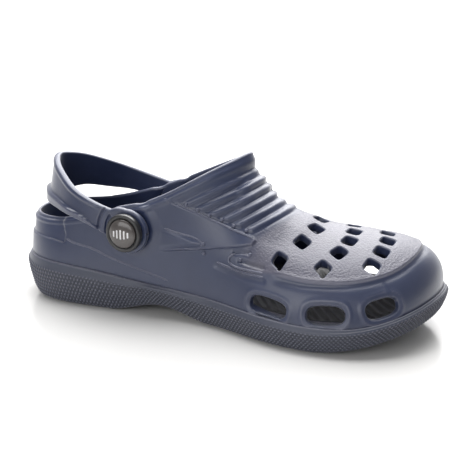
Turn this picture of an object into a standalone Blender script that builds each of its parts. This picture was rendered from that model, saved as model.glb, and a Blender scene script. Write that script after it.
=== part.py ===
"""Rubber garden clog for the right foot: a moulded foam shoe with a swinging heel strap.

Toe towards +X, heel towards -X, lateral (outer) side towards -Y, sole on the ground at z = 0.
All dimensions below are in millimetres; meshes are made in metres.
"""
import bpy
import bmesh
import numpy as np
from math import cos, pi, radians, sin
from mathutils import Matrix, Vector

MM = 0.001
GAP = 0.3                       # clearance between pieces that touch on the real shoe
CENTRE = (1.0, 0.75)            # moves the modelled outline onto the middle of its own box

# Sole outline seen from above: heel back, lateral side, toe tip, medial side.
OUTLINE = [(-145, 2), (-139, -22), (-119, -38.5), (-85, -42.5), (-45, -40), (8, -42.2), (28, -48),
           (52, -55), (79, -57.5), (107, -51.5), (130, -33), (141, -9), (143, 12), (136, 36),
           (114, 51), (80, 56), (54, 54), (28, 48.5), (8, 43.5), (-45, 37), (-85, 38),
           (-118, 34.5), (-138.5, 22)]
TOE_TIP = 12                    # outline point that the tongue tip's column runs to

# Foot opening seen from above, and its height along the shoe.
RIM = [(-143, 2), (-136, -19), (-118, -31), (-90, -35.5), (-60, -37), (-30, -35), (-5, -28),
       (11, -16), (19, 0), (11, 16), (-5, 28), (-30, 35), (-60, 36), (-90, 34), (-118, 30),
       (-136, 21)]
TONGUE_TIP = 8
RIM_HEIGHT = [(-145, 54.5), (-120, 56), (-100, 58.2), (-80, 63), (-60, 69.2), (-40, 77.5),
              (-20, 86.7), (0, 95.7), (22, 106)]
# The lateral edge of the opening lies lower by this much; the drop fades in by y and then x,
# and out again by x.
LATERAL_DROP = 3.2
DROP_SIDE = (-14, -2)
DROP_REAR = (-62, -35)
DROP_FRONT = (-30, 8)

# How far round the opening each column of the upper starts, against how far round the
# sole it ends, both as fractions of the way from the heel to the front.
COLUMN_START = [(0, 0), (0.2, 0.33), (0.35, 0.57), (0.5, 0.79), (0.62, 0.895), (0.75, 0.95),
                (0.88, 0.981), (1, 1)]
# Section of the upper from the opening (0, 1) down to the ledge (1, 0): the two handles of
# a Bezier curve, as (fraction out, fraction up), for columns from the heel to the toe.
SECTIONS = [(0.0, 0.5, 0.75, 0.9, 0.4), (0.3, 0.46, 0.72, 0.87, 0.38), (0.45, 0.3, 0.66, 0.8, 0.35),
            (0.58, 0.13, 0.57, 0.81, 0.37), (0.72, 0.03, 0.4, 0.9, 0.47), (0.86, 0.0, 0.17, 0.98, 0.64),
            (1.0, 0.0, 0.05, 1.03, 0.78)]

LEDGE_HEIGHT = [(-150, 27.5), (-125, 29), (-100, 28.8), (-75, 27), (-50, 24), (-25, 21.3),
                (0, 19.5), (30, 18), (60, 17.2), (90, 17.2), (110, 19), (128, 23.5), (146, 30)]
# Extra height over the front of the instep, by x; it fades out over these heights, towards the
# tongue tip, and over these distances from the middle, towards the sides.
SWELL = [(6, 0), (11, 0.1), (16, 2.6), (20, 7), (24, 8.2), (28, 6.8), (34, 5.5), (44, 4.7), (50, 3.6),
         (58, 2), (67, 0.4), (76, 0)]
SWELL_TOP = (80, 97)
SWELL_SIDES = (14, 32)
SHELL_INSET = 1.5               # ledge that the sole shows outside the upper
WALL = 4.5                      # foam thickness of the upper
LIP = 1.0                       # rise of the rounded edge of the foot opening
OPENING_ABOVE = 40              # free edges higher than this belong to the foot opening

# Underside, as x where a lift starts, x where it ends, and height.
HEEL_LIFT = (-120, -145, 14.0)
ARCH = (-68, 6, 7.0)
TOE_SPRING = (78, 143, 15.0)
RECESS_INSET = SHELL_INSET + WALL
RECESS_DEPTH = 4.0              # tub in the sole top that takes the footbed
FOOTBED_RISE = 2.2              # footbed surface above the ledge

PIVOT = (-50.0, 57.0)           # strap axis: x and z
SEAT_Y = 38.0                   # flat seats on the upper that the strap ends turn on
SEAT_RADII = (16.0, 22.0)
POST_RADIUS = 4.0
EYE_RADIUS = 4.4
SPACER = (8.0, 1.6)             # radius and thickness
STRAP_THICKNESS = 4.0
STRAP_CHAMFER = 1.0
STRAP_END_RADIUS = 14.5
CAP_RADIUS = 12.4
BADGE_RADIUS = 9.4
CAP_FLOOR = 3.1                 # floor of the button's dish, above the button's underside
CAP_HEIGHT = 4.6
BADGE_DOME = (1.0, 2.6)         # straight shoulder and rise of the badge
BASE = (9.0, 3.0)               # inner snap disc: radius and thickness
BASE_TOP = -WALL - 2 * GAP      # its face towards the upper, measured out from the seat
BASE_SOCKET = 2.1

# Strap, lateral end to heel: x, distance out from the middle, mid height, half height, lean of
# its top edge inwards.
STRAP_INNER_Y = SEAT_Y + GAP + SPACER[1] + GAP
STRAP_Y = STRAP_INNER_Y + STRAP_THICKNESS / 2
STRAP = [(-50, STRAP_Y, 57, 10.8, 0), (-64, STRAP_Y, 61.8, 9.4, 0), (-78, 41.4, 67, 8.2, 0.7),
         (-93, 37.4, 71.4, 9, 1.5), (-107, 28.6, 75.2, 11.2, 2.1), (-116.5, 20.4, 77.3, 13.2, 2.4),
         (-123.5, 11.2, 78.7, 14.4, 2.5), (-128, 0, 79.5, 14.8, 2.6)]

# Square vents in the vamp, one row after another across the foot: centre x, y, turn, width.
TOP_VENTS = [(53, -38.5, -22, 6.6), (62, -24, -24, 8.5), (65.5, -8.5, -22, 8.5), (63.5, 6.5, -12, 8.5),
             (57, 21, 10, 8.5), (48, 34, 22, 6.8), (80.5, -38, -28, 7.4), (86, -25, -28, 8.5),
             (88.5, -12.5, -12, 8.5), (87.5, 0, -6, 8.5), (83.5, 13, 10, 8.5), (76.5, 26, 24, 7.6),
             (107.5, -28, -12, 8.2), (109.5, -15, -8, 8.5), (109.5, -2, -4, 8.5), (106, 10.5, 4, 8.5),
             (100, 22.5, 12, 8.2)]
TOP_VENT_LENGTH = 8.5
TOP_VENT_CUT = (34, 80)         # heights between which the vamp vents are cut
# Oval vents low in both side walls: centre x, height, length, width, tilt in degrees.
SIDE_VENTS = [(49.5, 23.6, 26.5, 11.2, -5), (88, 24.2, 24, 12, 4), (120.8, 29, 21, 11.5, 12)]
SIDE_VENT_CUT = 15              # the side vents' cutters reach this far each way from the outline
EYE_CUT = 12                    # and the rivet holes' cutters this far from the seats

COLUMNS = 42                    # mesh columns of the upper per side
ROWS = 12
SOLE_COLUMNS = 40               # mesh columns of sole and footbed per side
STRAP_COLUMNS = 30              # mesh columns of each strap arm
TURNED_SEGMENTS = 32
WELD = 0.01
ROOT = "clog"

FOAM = (0.055, 0.062, 0.115)
SOLE_FOAM = (0.06, 0.068, 0.12)
FOOTBED_FOAM = (0.05, 0.055, 0.10)
RIVET_BLACK = (0.012, 0.012, 0.014)
BADGE_GREY = (0.09, 0.08, 0.085)


def spline(knots, values, closed=False):
    """Smooth cubic through the values at the knots; a closed one ends on its first value."""
    t = np.asarray(knots, float)
    p = np.asarray(values, float).reshape(len(t), -1)
    h = np.diff(t)
    slope = np.diff(p, axis=0) / h[:, None]
    a = np.eye(len(t))
    b = np.zeros_like(p)
    for i in range(1, len(t) - 1):
        a[i, i - 1:i + 2] = h[i - 1], 2 * (h[i - 1] + h[i]), h[i]
        b[i] = 6 * (slope[i] - slope[i - 1])
    if closed:
        a[0, 0], a[0, 1], a[0, -2] = 2 * (h[0] + h[-1]), h[0], h[-1]
        b[0] = 6 * (slope[0] - slope[-1])
        a[-1, 0] = -1
    m = np.linalg.solve(a, b)

    def at(x):
        x = np.asarray(x, float)
        if closed:
            x = t[0] + np.mod(x - t[0], t[-1] - t[0])
        k = np.clip(np.searchsorted(t, x, side="right") - 1, 0, len(t) - 2)
        u = ((t[k + 1] - x) / h[k])[..., None]
        w = ((x - t[k]) / h[k])[..., None]
        hh = h[k][..., None] ** 2 / 6
        value = u * p[k] + w * p[k + 1] + ((u ** 3 - u) * m[k] + (w ** 3 - w) * m[k + 1]) * hh
        return value[..., 0] if p.shape[1] == 1 else value
    return at


def profile(pairs):
    """Smooth height profile through (x, value) pairs."""
    x, value = zip(*pairs)
    curve = spline(x, value)
    return lambda at: curve(np.clip(at, x[0], x[-1]))


def chord_spline(points, closed=False):
    """Spline through plan or space points, with its knots spaced by chord length."""
    p = np.array(points + points[:1] if closed else points, float)
    knots = np.concatenate([[0], np.cumsum(np.linalg.norm(np.diff(p, axis=0), axis=1))])
    return spline(knots, p, closed), knots


outline, OUTLINE_KNOTS = chord_spline(OUTLINE, closed=True)
rim, RIM_KNOTS = chord_spline(RIM, closed=True)
column_start = profile(COLUMN_START)
section = spline([k[0] for k in SECTIONS] + [2 - k[0] for k in SECTIONS[-2::-1]],
                 [k[1:] for k in SECTIONS] + [k[1:] for k in SECTIONS[-2::-1]], closed=True)
rim_height = profile(RIM_HEIGHT)
ledge_height = profile(LEDGE_HEIGHT)
swell = profile(SWELL)


def step_up(low, high, x):
    """Smooth step from 0 at low to 1 at high."""
    t = np.clip((x - low) / (high - low), 0, 1)
    return t * t * (3 - 2 * t)


def sole_bottom(x):
    """Height of the underside: flat at heel and forefoot, lifted at heel back, waist and toe."""
    shares = [(x - start) / (end - start) for start, end, _ in (HEEL_LIFT, ARCH, TOE_SPRING)]
    heel = np.clip(shares[0], 0, 1.2) ** 2 * HEEL_LIFT[2]
    waist = np.sin(pi * np.clip(shares[1], 0, 1)) ** 2 * ARCH[2]
    toe = np.clip(shares[2], 0, 1.1) ** 1.6 * TOE_SPRING[2]
    return heel + waist + toe


def sole_point(q, inset=0.0):
    """Plan point on the sole outline; q runs 0..1 up the lateral side, 1..2 down the medial one."""
    marks = OUTLINE_KNOTS[[0, TOE_TIP, len(OUTLINE)]]
    t = np.interp(np.mod(q, 2), [0, 1, 2], marks)
    step = 0.5
    along = outline(t + step) - outline(t - step)
    along /= np.linalg.norm(along, axis=-1, keepdims=True)
    inward = np.stack([-along[..., 1], along[..., 0]], axis=-1)
    return outline(t) + inward * np.asarray(inset)[..., None]


def rim_point(q):
    """Point on the edge of the foot opening that column q starts from."""
    q = np.mod(q, 2)
    lateral = q < 1
    length = np.where(lateral, RIM_KNOTS[TONGUE_TIP], RIM_KNOTS[TONGUE_TIP] - RIM_KNOTS[-1])
    plan = rim(column_start(np.where(lateral, q, 2 - q)) * length)
    x, y = plan[..., 0], plan[..., 1]
    share = (1 - step_up(*DROP_SIDE, y)) * step_up(*DROP_REAR, x) * (1 - step_up(*DROP_FRONT, x))
    return np.concatenate([plan, (rim_height(x) - LATERAL_DROP * share)[..., None]], axis=-1)


def upper_point(q, v):
    """Outside of the upper; v runs from the ledge (0) up to the edge of the opening (1)."""
    plan = sole_point(q, SHELL_INSET)
    foot = np.concatenate([plan, ledge_height(plan[..., 0])[..., None]], axis=-1)
    top = rim_point(q)
    handles = section(np.mod(q, 2))
    t = 1 - v
    first = 3 * v ** 2 * t
    second = 3 * v * t ** 2
    out = first * handles[..., 0] + second * handles[..., 2] + t ** 3
    up = v ** 3 + first * handles[..., 1] + second * handles[..., 3]
    share = np.stack([1 - out, 1 - out, up], axis=-1)
    p = foot + (top - foot) * share
    low = 1 - step_up(*SWELL_TOP, p[..., 2])
    central = 1 - step_up(*SWELL_SIDES, np.abs(p[..., 1]))
    p[..., 2] += swell(p[..., 0]) * low * central
    return seated(p)


def seated(p):
    """Flatten the wall round the strap pivot into a seat square to the pivot axis."""
    r = np.hypot(p[..., 0] - PIVOT[0], p[..., 2] - PIVOT[1])
    w = 1 - step_up(*SEAT_RADII, r)
    p = p.copy()
    p[..., 1] += (np.sign(p[..., 1]) * SEAT_Y - p[..., 1]) * w
    return p


def make_object(name, data, colour, rough, shift=(0, 0, 0)):
    """Mesh object with its own material from a bmesh in millimetres; shift is its origin."""
    bmesh.ops.translate(data, verts=data.verts, vec=-Vector(shift))
    bmesh.ops.scale(data, verts=data.verts, vec=(MM, MM, MM))
    bmesh.ops.recalc_face_normals(data, faces=data.faces)
    mesh = bpy.data.meshes.new(name)
    data.to_mesh(mesh)
    data.free()
    mesh.shade_smooth()
    mesh.set_sharp_from_angle(angle=radians(35))
    obj = bpy.data.objects.new(name, mesh)
    obj.location = Vector(shift) * MM
    obj.parent = bpy.data.objects[ROOT]
    bpy.context.collection.objects.link(obj)
    material = bpy.data.materials.new(name)
    material.use_nodes = True
    shader = material.node_tree.nodes["Principled BSDF"]
    shader.inputs["Base Color"].default_value = (*colour, 1)
    shader.inputs["Roughness"].default_value = rough
    shader.inputs["Metallic"].default_value = 0.0
    mesh.materials.append(material)
    return obj


def bmesh_from(points, faces):
    """bmesh of points and faces, with coincident points welded into one."""
    data = bmesh.new()
    verts = [data.verts.new(p) for p in points]
    for face in faces:
        data.faces.new([verts[i] for i in face])
    bmesh.ops.remove_doubles(data, verts=data.verts, dist=WELD)
    return data


def ring_faces(count, length):
    """Quads joining count successive rings of the given length."""
    faces = []
    for r in range(count - 1):
        for i in range(length):
            a, b = r * length + i, r * length + (i + 1) % length
            faces.append((a, b, b + length, a + length))
    return faces


def cut(obj, cutter_data, name):
    """Cut the shape in cutter_data (a bmesh in millimetres) out of obj."""
    bmesh.ops.scale(cutter_data, verts=cutter_data.verts, vec=(MM, MM, MM))
    bmesh.ops.recalc_face_normals(cutter_data, faces=cutter_data.faces)
    mesh = bpy.data.meshes.new(name)
    cutter_data.to_mesh(mesh)
    cutter_data.free()
    cutter = bpy.data.objects.new(name, mesh)
    cutter.parent = bpy.data.objects[ROOT]
    bpy.context.collection.objects.link(cutter)
    cutter.hide_render = True
    cutter.display_type = "WIRE"
    boolean = obj.modifiers.new(name, "BOOLEAN")
    boolean.operation = "DIFFERENCE"
    boolean.solver = "EXACT"
    boolean.object = cutter


def add_prism(data, outline_points, frame, near, far):
    """Add a closed prism: a plane outline swept along the frame's Z from near to far."""
    rings = [[data.verts.new(frame @ Vector((x, y, z))) for x, y in outline_points]
             for z in (near, far)]
    count = len(outline_points)
    for i in range(count):
        j = (i + 1) % count
        data.faces.new((rings[0][i], rings[0][j], rings[1][j], rings[1][i]))
    data.faces.new(rings[0][::-1])
    data.faces.new(rings[1])


def squircle(length, width, power, segments):
    """Rounded outline between an oval (power 2) and a rectangle (higher powers)."""
    points = []
    for i in range(segments):
        a = 2 * pi * (i + 0.5) / segments
        x, y = cos(a), sin(a)
        points.append((length / 2 * abs(x) ** (2 / power) * (1 if x > 0 else -1),
                       width / 2 * abs(y) ** (2 / power) * (1 if y > 0 else -1)))
    return points


def thicken(sheet):
    """Turn the outer skin into a closed wall, with a rounded lip on its upper edge."""
    sheet.normal_update()
    skin = list(sheet.faces)
    borders = [edge for edge in sheet.edges if edge.is_boundary]
    inner = {}
    for vert in list(sheet.verts):
        point = vert.co - vert.normal * WALL
        if vert.is_boundary and vert.co.z < OPENING_ABOVE:
            point.z = vert.co.z
        inner[vert] = sheet.verts.new(point)
    for face in skin:
        sheet.faces.new([inner[v] for v in reversed(face.verts)])
    crown = {}
    for edge in borders:
        for vert in edge.verts:
            if vert.co.z > OPENING_ABOVE and vert not in crown:
                middle = (vert.co + inner[vert].co) / 2
                crown[vert] = sheet.verts.new(middle + Vector((0, 0, LIP)))
    for edge in borders:
        a, b = edge.verts
        rows = [(a, b), (inner[a], inner[b])]
        if a in crown:
            rows.insert(1, (crown[a], crown[b]))
        for (p, q), (r, s) in zip(rows, rows[1:]):
            sheet.faces.new((p, q, s, r))


def make_upper():
    """Foam upper with its vents and the two rivet holes."""
    q = np.arange(2 * COLUMNS) / COLUMNS
    v = np.linspace(0, 1, ROWS + 1)
    points = upper_point(*np.meshgrid(q, v, indexing="ij")).transpose(1, 0, 2)
    data = bmesh_from(points.reshape(-1, 3), ring_faces(len(v), len(q)))
    bmesh.ops.recalc_face_normals(data, faces=data.faces)
    thicken(data)
    upper = make_object("upper_shell", data, FOAM, 0.45)
    cut(upper, vent_cutters(), "vent_cutter")
    return upper


def vent_cutters():
    """Prisms for the vamp vents, the side vents and the rivet holes."""
    data = bmesh.new()
    for x, y, turn, width in TOP_VENTS:
        frame = Matrix.Translation((x, y, 0)) @ Matrix.Rotation(radians(turn), 4, "Z")
        add_prism(data, squircle(TOP_VENT_LENGTH, width, 5, 12), frame, *TOP_VENT_CUT)
    for x, z, length, width, tilt in SIDE_VENTS:
        oval = squircle(length, width, 2.6, 16)
        for side in (-1, 1):
            q = wall_column(x, side)
            here = sole_point(q)
            ahead = sole_point(q + 0.005 * -side)
            heading = np.arctan2(*(ahead - here)[::-1])
            frame = (Matrix.Translation((here[0], here[1], z))
                     @ Matrix.Rotation(heading, 4, "Z")
                     @ Matrix.Rotation(radians(90), 4, "X")
                     @ Matrix.Rotation(radians(tilt), 4, "Z"))
            add_prism(data, oval, frame, -SIDE_VENT_CUT, SIDE_VENT_CUT)
    for side in (-1, 1):
        add_eye(data, side * SEAT_Y)
    return data


def add_eye(data, y):
    """Add the round cutter of a rivet hole, on the strap axis and centred at this y."""
    frame = Matrix.Translation((PIVOT[0], y, PIVOT[1])) @ Matrix.Rotation(radians(90), 4, "X")
    add_prism(data, squircle(2 * EYE_RADIUS, 2 * EYE_RADIUS, 2, 20), frame, -EYE_CUT, EYE_CUT)


def wall_column(x, side):
    """Column q, on the lateral (-1) or medial (+1) side, whose foot lies at x."""
    q = np.linspace(0, 1, 401) if side < 0 else np.linspace(2, 1, 401)
    return float(np.interp(x, sole_point(q)[:, 0], q))


def sole_rings(levels):
    """Closed body of rings round the outline, capped by strips from side to side.

    levels: (inset from the outline, height function of x) from the bottom cap to the top one.
    """
    q = np.arange(2 * SOLE_COLUMNS) / SOLE_COLUMNS
    points = []
    for inset, height in levels:
        plan = sole_point(q, inset)
        points.append(np.column_stack([plan, height(plan[:, 0])]))
    count = len(q)
    faces = ring_faces(len(levels), count)
    half = count // 2
    for start in (0, (len(levels) - 1) * count):
        for i in range(half):
            corners = (start + i, start + i + 1,
                       start + (count - i - 1) % count, start + (count - i) % count)
            faces.append(tuple(dict.fromkeys(corners)))
    return bmesh_from(np.concatenate(points), faces)


def between(fraction):
    """Height a given fraction of the way up from the sole's underside to its ledge."""
    return lambda x: sole_bottom(x) + (ledge_height(x) - sole_bottom(x)) * fraction


def above_ledge(rise):
    return lambda x: ledge_height(x) + rise


def make_outsole():
    """Sole block: tread, bulging band, ledge, and the tub that takes the footbed."""
    levels = [(11.0, sole_bottom), (6.0, sole_bottom), (3.4, between(0.07)), (1.2, between(0.3)),
              (-0.6, between(0.62)), (-0.8, between(0.8)), (-0.2, above_ledge(-2.0)),
              (0.2, above_ledge(-GAP)), (RECESS_INSET, above_ledge(-GAP)),
              (RECESS_INSET, above_ledge(-RECESS_DEPTH))]
    return make_object("outsole", sole_rings(levels), SOLE_FOAM, 0.6)


def make_footbed():
    """Insole slab lying in the tub, its surface a little above the ledge."""
    edge = RECESS_INSET + 0.4
    levels = [(edge, above_ledge(GAP - RECESS_DEPTH)), (edge, above_ledge(FOOTBED_RISE - 0.8)),
              (edge + 0.8, above_ledge(FOOTBED_RISE))]
    return make_object("footbed", sole_rings(levels), FOOTBED_FOAM, 0.7)


def strap_stations():
    """Stations along the strap, lateral end to medial end: x, y, z, half height, lean."""
    mirrored = STRAP + [(x, -y, z, h, lean) for x, y, z, h, lean in STRAP[-2::-1]]
    path, knots = chord_spline([(x, -y, z, h, lean) for x, y, z, h, lean in mirrored])
    band = path(np.linspace(0, knots[-1], 2 * STRAP_COLUMNS + 1))
    reach = PIVOT[0] - band[:, 0]
    disc = np.sqrt(np.clip(STRAP_END_RADIUS ** 2 - reach ** 2, 0, None))
    band[:, 3] = np.maximum(band[:, 3], disc)
    angles = np.radians(np.arange(15, 90, 15))
    level = np.ones(len(angles))
    end = np.column_stack([PIVOT[0] + STRAP_END_RADIUS * np.cos(angles), -STRAP_Y * level,
                           PIVOT[1] * level, STRAP_END_RADIUS * np.sin(angles), 0 * level])
    return np.concatenate([end, band, (end * (1, -1, 1, 1, 1))[::-1]])


def make_strap():
    """Heel strap: a flat band round the heel with a round eye at each end."""
    stations = strap_stations()
    along = np.gradient(stations[:, :2], axis=0)
    along /= np.linalg.norm(along, axis=1, keepdims=True)
    outward = np.column_stack([-along[:, 1], along[:, 0]])
    t, chamfer = STRAP_THICKNESS / 2, STRAP_CHAMFER
    corners = [(t, 1, -chamfer), (t - chamfer, 1, 0), (chamfer - t, 1, 0), (-t, 1, -chamfer),
               (-t, -1, chamfer), (chamfer - t, -1, 0), (t - chamfer, -1, 0), (t, -1, chamfer)]
    points = []
    for (x, y, z, half, lean), normal in zip(stations, outward):
        for out, sign, trim in corners:
            place = out - sign * lean
            points.append((x + normal[0] * place, y + normal[1] * place, z + sign * half + trim))
    count = len(corners)
    faces = ring_faces(len(stations), count)
    faces.append(tuple(range(count)))
    faces.append(tuple(range((len(stations) - 1) * count, len(stations) * count)))
    pivot = (PIVOT[0], 0, PIVOT[1])
    strap = make_object("heel_strap", bmesh_from(points, faces), FOAM, 0.45, shift=pivot)
    eyes = bmesh.new()
    for side in (-1, 1):
        add_eye(eyes, side * STRAP_Y)
    cut(strap, eyes, "eye_cutter")
    return strap


def make_turned(name, side, sections, colour, rough):
    """Round piece on the strap axis; sections are the closed profile's (radius, distance out)."""
    angles = 2 * pi * np.arange(TURNED_SEGMENTS) / TURNED_SEGMENTS
    points = [(PIVOT[0] + r * cos(a), side * (SEAT_Y + out), PIVOT[1] + r * sin(a))
              for a in angles for r, out in sections]
    length = len(sections)
    data = bmesh.new()
    verts = [data.verts.new(p) for p in points]
    for k in range(TURNED_SEGMENTS):
        here, there = k * length, (k + 1) % TURNED_SEGMENTS * length
        for i in range(length):
            j = (i + 1) % length
            if sections[i][0] > 0 or sections[j][0] > 0:
                data.faces.new([verts[n] for n in (here + i, here + j, there + j, there + i)])
    bmesh.ops.remove_doubles(data, verts=data.verts, dist=WELD)
    return make_object(name, data, colour, rough, shift=(PIVOT[0], side * SEAT_Y, PIVOT[1]))


def make_spacer(prefix, side):
    """Washer between the upper and the strap end."""
    radius, thickness = SPACER
    make_turned(prefix + "spacer", side,
                [(EYE_RADIUS, GAP), (radius, GAP),
                 (radius, GAP + thickness), (EYE_RADIUS, GAP + thickness)],
                RIVET_BLACK, 0.4)


def make_button(prefix, side):
    """Rivet head outside the strap: a dished cap with a rounded rim, on the post through it."""
    under = STRAP_INNER_Y + STRAP_THICKNESS + GAP - SEAT_Y
    post_end = BASE_TOP - BASE_SOCKET + GAP
    make_turned(prefix + "button", side,
                [(0, post_end), (POST_RADIUS - 0.5, post_end), (POST_RADIUS, post_end + 0.5),
                 (POST_RADIUS, under), (CAP_RADIUS - 0.6, under), (CAP_RADIUS, under + 0.6),
                 (CAP_RADIUS - 0.1, under + CAP_FLOOR), (CAP_RADIUS - 0.6, under + CAP_HEIGHT - 0.4),
                 (BADGE_RADIUS + 0.9, under + CAP_HEIGHT), (BADGE_RADIUS + GAP, under + CAP_HEIGHT - 0.3),
                 (BADGE_RADIUS + GAP, under + CAP_FLOOR), (0, under + CAP_FLOOR)],
                RIVET_BLACK, 0.35)


def make_badge(prefix, side):
    """Plain domed badge set in the dish of the button."""
    seat = STRAP_INNER_Y + STRAP_THICKNESS + GAP - SEAT_Y + CAP_FLOOR + GAP
    shoulder, rise = BADGE_DOME
    dome = [(BADGE_RADIUS * cos(a), seat + shoulder + rise * sin(a))
            for a in np.radians(range(0, 90, 18))]
    make_turned(prefix + "badge", side,
                [(0, seat), (BADGE_RADIUS, seat)] + dome + [(0, seat + shoulder + rise)],
                BADGE_GREY, 0.2)


def make_rivet_base(prefix, side):
    """Snap disc inside the upper, with a socket for the end of the post."""
    radius, thickness = BASE
    socket = BASE_TOP - BASE_SOCKET
    make_turned(prefix + "rivet_base", side,
                [(0, socket), (POST_RADIUS + GAP, socket), (POST_RADIUS + GAP, BASE_TOP),
                 (radius, BASE_TOP), (radius, BASE_TOP - thickness + 0.6),
                 (radius - 0.8, BASE_TOP - thickness), (0, BASE_TOP - thickness)],
                RIVET_BLACK, 0.4)


for old in list(bpy.data.objects):
    bpy.data.objects.remove(old, do_unlink=True)

root = bpy.data.objects.new(ROOT, None)
root.location = Vector((*CENTRE, 0)) * MM
bpy.context.collection.objects.link(root)

make_upper()
make_outsole()
make_footbed()
make_strap()
for name_start, which in (("lateral_", -1), ("medial_", 1)):
    make_spacer(name_start, which)
    make_button(name_start, which)
    make_badge(name_start, which)
    make_rivet_base(name_start, which)
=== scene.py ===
"""Rubber garden clog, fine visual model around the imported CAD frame.

The clog stands with its toe towards +X and its lateral side towards -Y. Shapes are worked out in
millimetres in the CAD model's modelling frame and placed in the row frame in metres.
"""
from math import cos, pi, radians, sin

import bmesh
import bpy
import numpy as np
from mathutils import Matrix, Vector


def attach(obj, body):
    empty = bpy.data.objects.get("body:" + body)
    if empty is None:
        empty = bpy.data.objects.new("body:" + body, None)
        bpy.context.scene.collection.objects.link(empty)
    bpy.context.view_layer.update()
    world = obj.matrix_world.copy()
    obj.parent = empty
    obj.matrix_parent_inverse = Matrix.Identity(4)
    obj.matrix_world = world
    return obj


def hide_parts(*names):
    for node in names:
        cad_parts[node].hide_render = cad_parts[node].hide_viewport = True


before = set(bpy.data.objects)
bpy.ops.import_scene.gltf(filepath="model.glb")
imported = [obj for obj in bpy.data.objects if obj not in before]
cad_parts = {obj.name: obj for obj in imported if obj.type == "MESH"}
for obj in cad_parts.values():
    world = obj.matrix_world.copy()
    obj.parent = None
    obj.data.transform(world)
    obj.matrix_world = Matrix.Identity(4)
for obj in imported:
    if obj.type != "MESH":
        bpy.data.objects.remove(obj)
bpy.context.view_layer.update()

MM = 0.001
CENTRE = (1.0, 0.75, 0.0)       # from the modelling frame to the middle of the object's box

# --- driving dimensions
# Sole outline from above: heel back, lateral side, toe tip, medial side.
OUTLINE = [(-145, 2), (-139, -22), (-119, -38.5), (-85, -42.5), (-45, -40), (8, -42.2), (28, -48),
           (52, -55), (79, -57.5), (107, -51.5), (130, -33), (141, -9), (143, 12), (136, 36),
           (114, 51), (80, 56), (54, 54), (28, 48.5), (8, 43.5), (-45, 37), (-85, 38),
           (-118, 34.5), (-138.5, 22)]
TOE_TIP = 12                    # outline point that the front column of the upper ends on
# Foot opening from above, and its height along the shoe.
RIM = [(-143, 2), (-136, -19), (-118, -31), (-90, -35.5), (-60, -37), (-30, -35), (-5, -28),
       (11, -16), (19, 0), (11, 16), (-5, 28), (-30, 35), (-60, 36), (-90, 34), (-118, 30),
       (-136, 21)]
TONGUE_TIP = 8                  # and the point of the opening that it starts from
RIM_HEIGHT = [(-145, 54.5), (-120, 56), (-100, 58.2), (-80, 63), (-60, 69.2), (-40, 77.5),
              (-20, 86.7), (0, 95.7), (22, 106)]
# The lateral edge of the opening lies lower by this much; the drop fades in by y and then x,
# and out again by x.
LATERAL_DROP = 3.2
DROP_SIDE = (-14, -2)
DROP_REAR = (-62, -35)
DROP_FRONT = (-30, 8)
# How far round the opening each column of the upper starts, against how far round the sole it
# ends; then the handles of each column's Bezier section, as (fraction out, fraction up) twice.
COLUMN_START = [(0, 0), (0.2, 0.33), (0.35, 0.57), (0.5, 0.79), (0.62, 0.895), (0.75, 0.95),
                (0.88, 0.981), (1, 1)]
SECTIONS = [(0.0, 0.5, 0.75, 0.9, 0.4), (0.3, 0.46, 0.72, 0.87, 0.38), (0.45, 0.3, 0.66, 0.8, 0.35),
            (0.58, 0.13, 0.57, 0.81, 0.37), (0.72, 0.03, 0.4, 0.9, 0.47), (0.86, 0.0, 0.17, 0.98, 0.64),
            (1.0, 0.0, 0.05, 1.03, 0.78)]
LEDGE_HEIGHT = [(-150, 27.5), (-125, 29), (-100, 28.8), (-75, 27), (-50, 24), (-25, 21.3),
                (0, 19.5), (30, 18), (60, 17.2), (90, 17.2), (110, 19), (128, 23.5), (146, 30)]
# Extra height over the front of the instep, by x; it fades out over these heights, towards the
# tongue tip, and over these distances from the middle, towards the sides.
SWELL = [(6, 0), (11, 0.1), (16, 2.6), (20, 7), (24, 8.2), (28, 6.8), (34, 5.5), (44, 4.7), (50, 3.6),
         (58, 2), (67, 0.4), (76, 0)]
SWELL_TOP = (80, 97)
SWELL_SIDES = (14, 32)
SHELL_INSET = 1.5               # ledge that the sole shows outside the upper
WALL = 4.5                      # foam thickness of the upper
# Underside, as x where a lift starts, x where it ends, and height.
HEEL_LIFT = (-120, -145, 14.0)
ARCH = (-68, 6, 7.0)
TOE_SPRING = (78, 143, 15.0)
RECESS_INSET = SHELL_INSET + WALL
RECESS_DEPTH = 4.0              # tub in the sole top that takes the footbed
FOOTBED_RISE = 2.2              # footbed surface above the ledge

PIVOT = (-50.0, 57.0)           # strap axis: x and z
SEAT_Y = 38.0                   # flat seats on the upper that the strap ends turn on
SEAT_RADII = (16.0, 22.0)
GAP = 0.3                       # clearance between pieces that touch
POST_RADIUS = 4.0
EYE_RADIUS = 4.4
WASHER = (7.6, 1.6)             # radius and thickness
STRAP_THICKNESS = 4.0
STRAP_END_RADIUS = 14.5
STRAP_INNER_Y = SEAT_Y + WASHER[1] + 2 * GAP
STRAP_Y = STRAP_INNER_Y + STRAP_THICKNESS / 2
# Strap, lateral end to heel: x, distance out from the middle, mid height, half height, lean of
# its top edge inwards.
STRAP = [(-50, STRAP_Y, 57, 10.8, 0), (-64, STRAP_Y, 61.8, 9.4, 0), (-78, 41.4, 67, 8.2, 0.7),
         (-93, 37.4, 71.4, 9, 1.5), (-107, 28.6, 75.2, 11.2, 2.1), (-116.5, 20.4, 77.3, 13.2, 2.4),
         (-123.5, 11.2, 78.7, 14.4, 2.5), (-128, 0, 79.5, 14.8, 2.6)]

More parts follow.
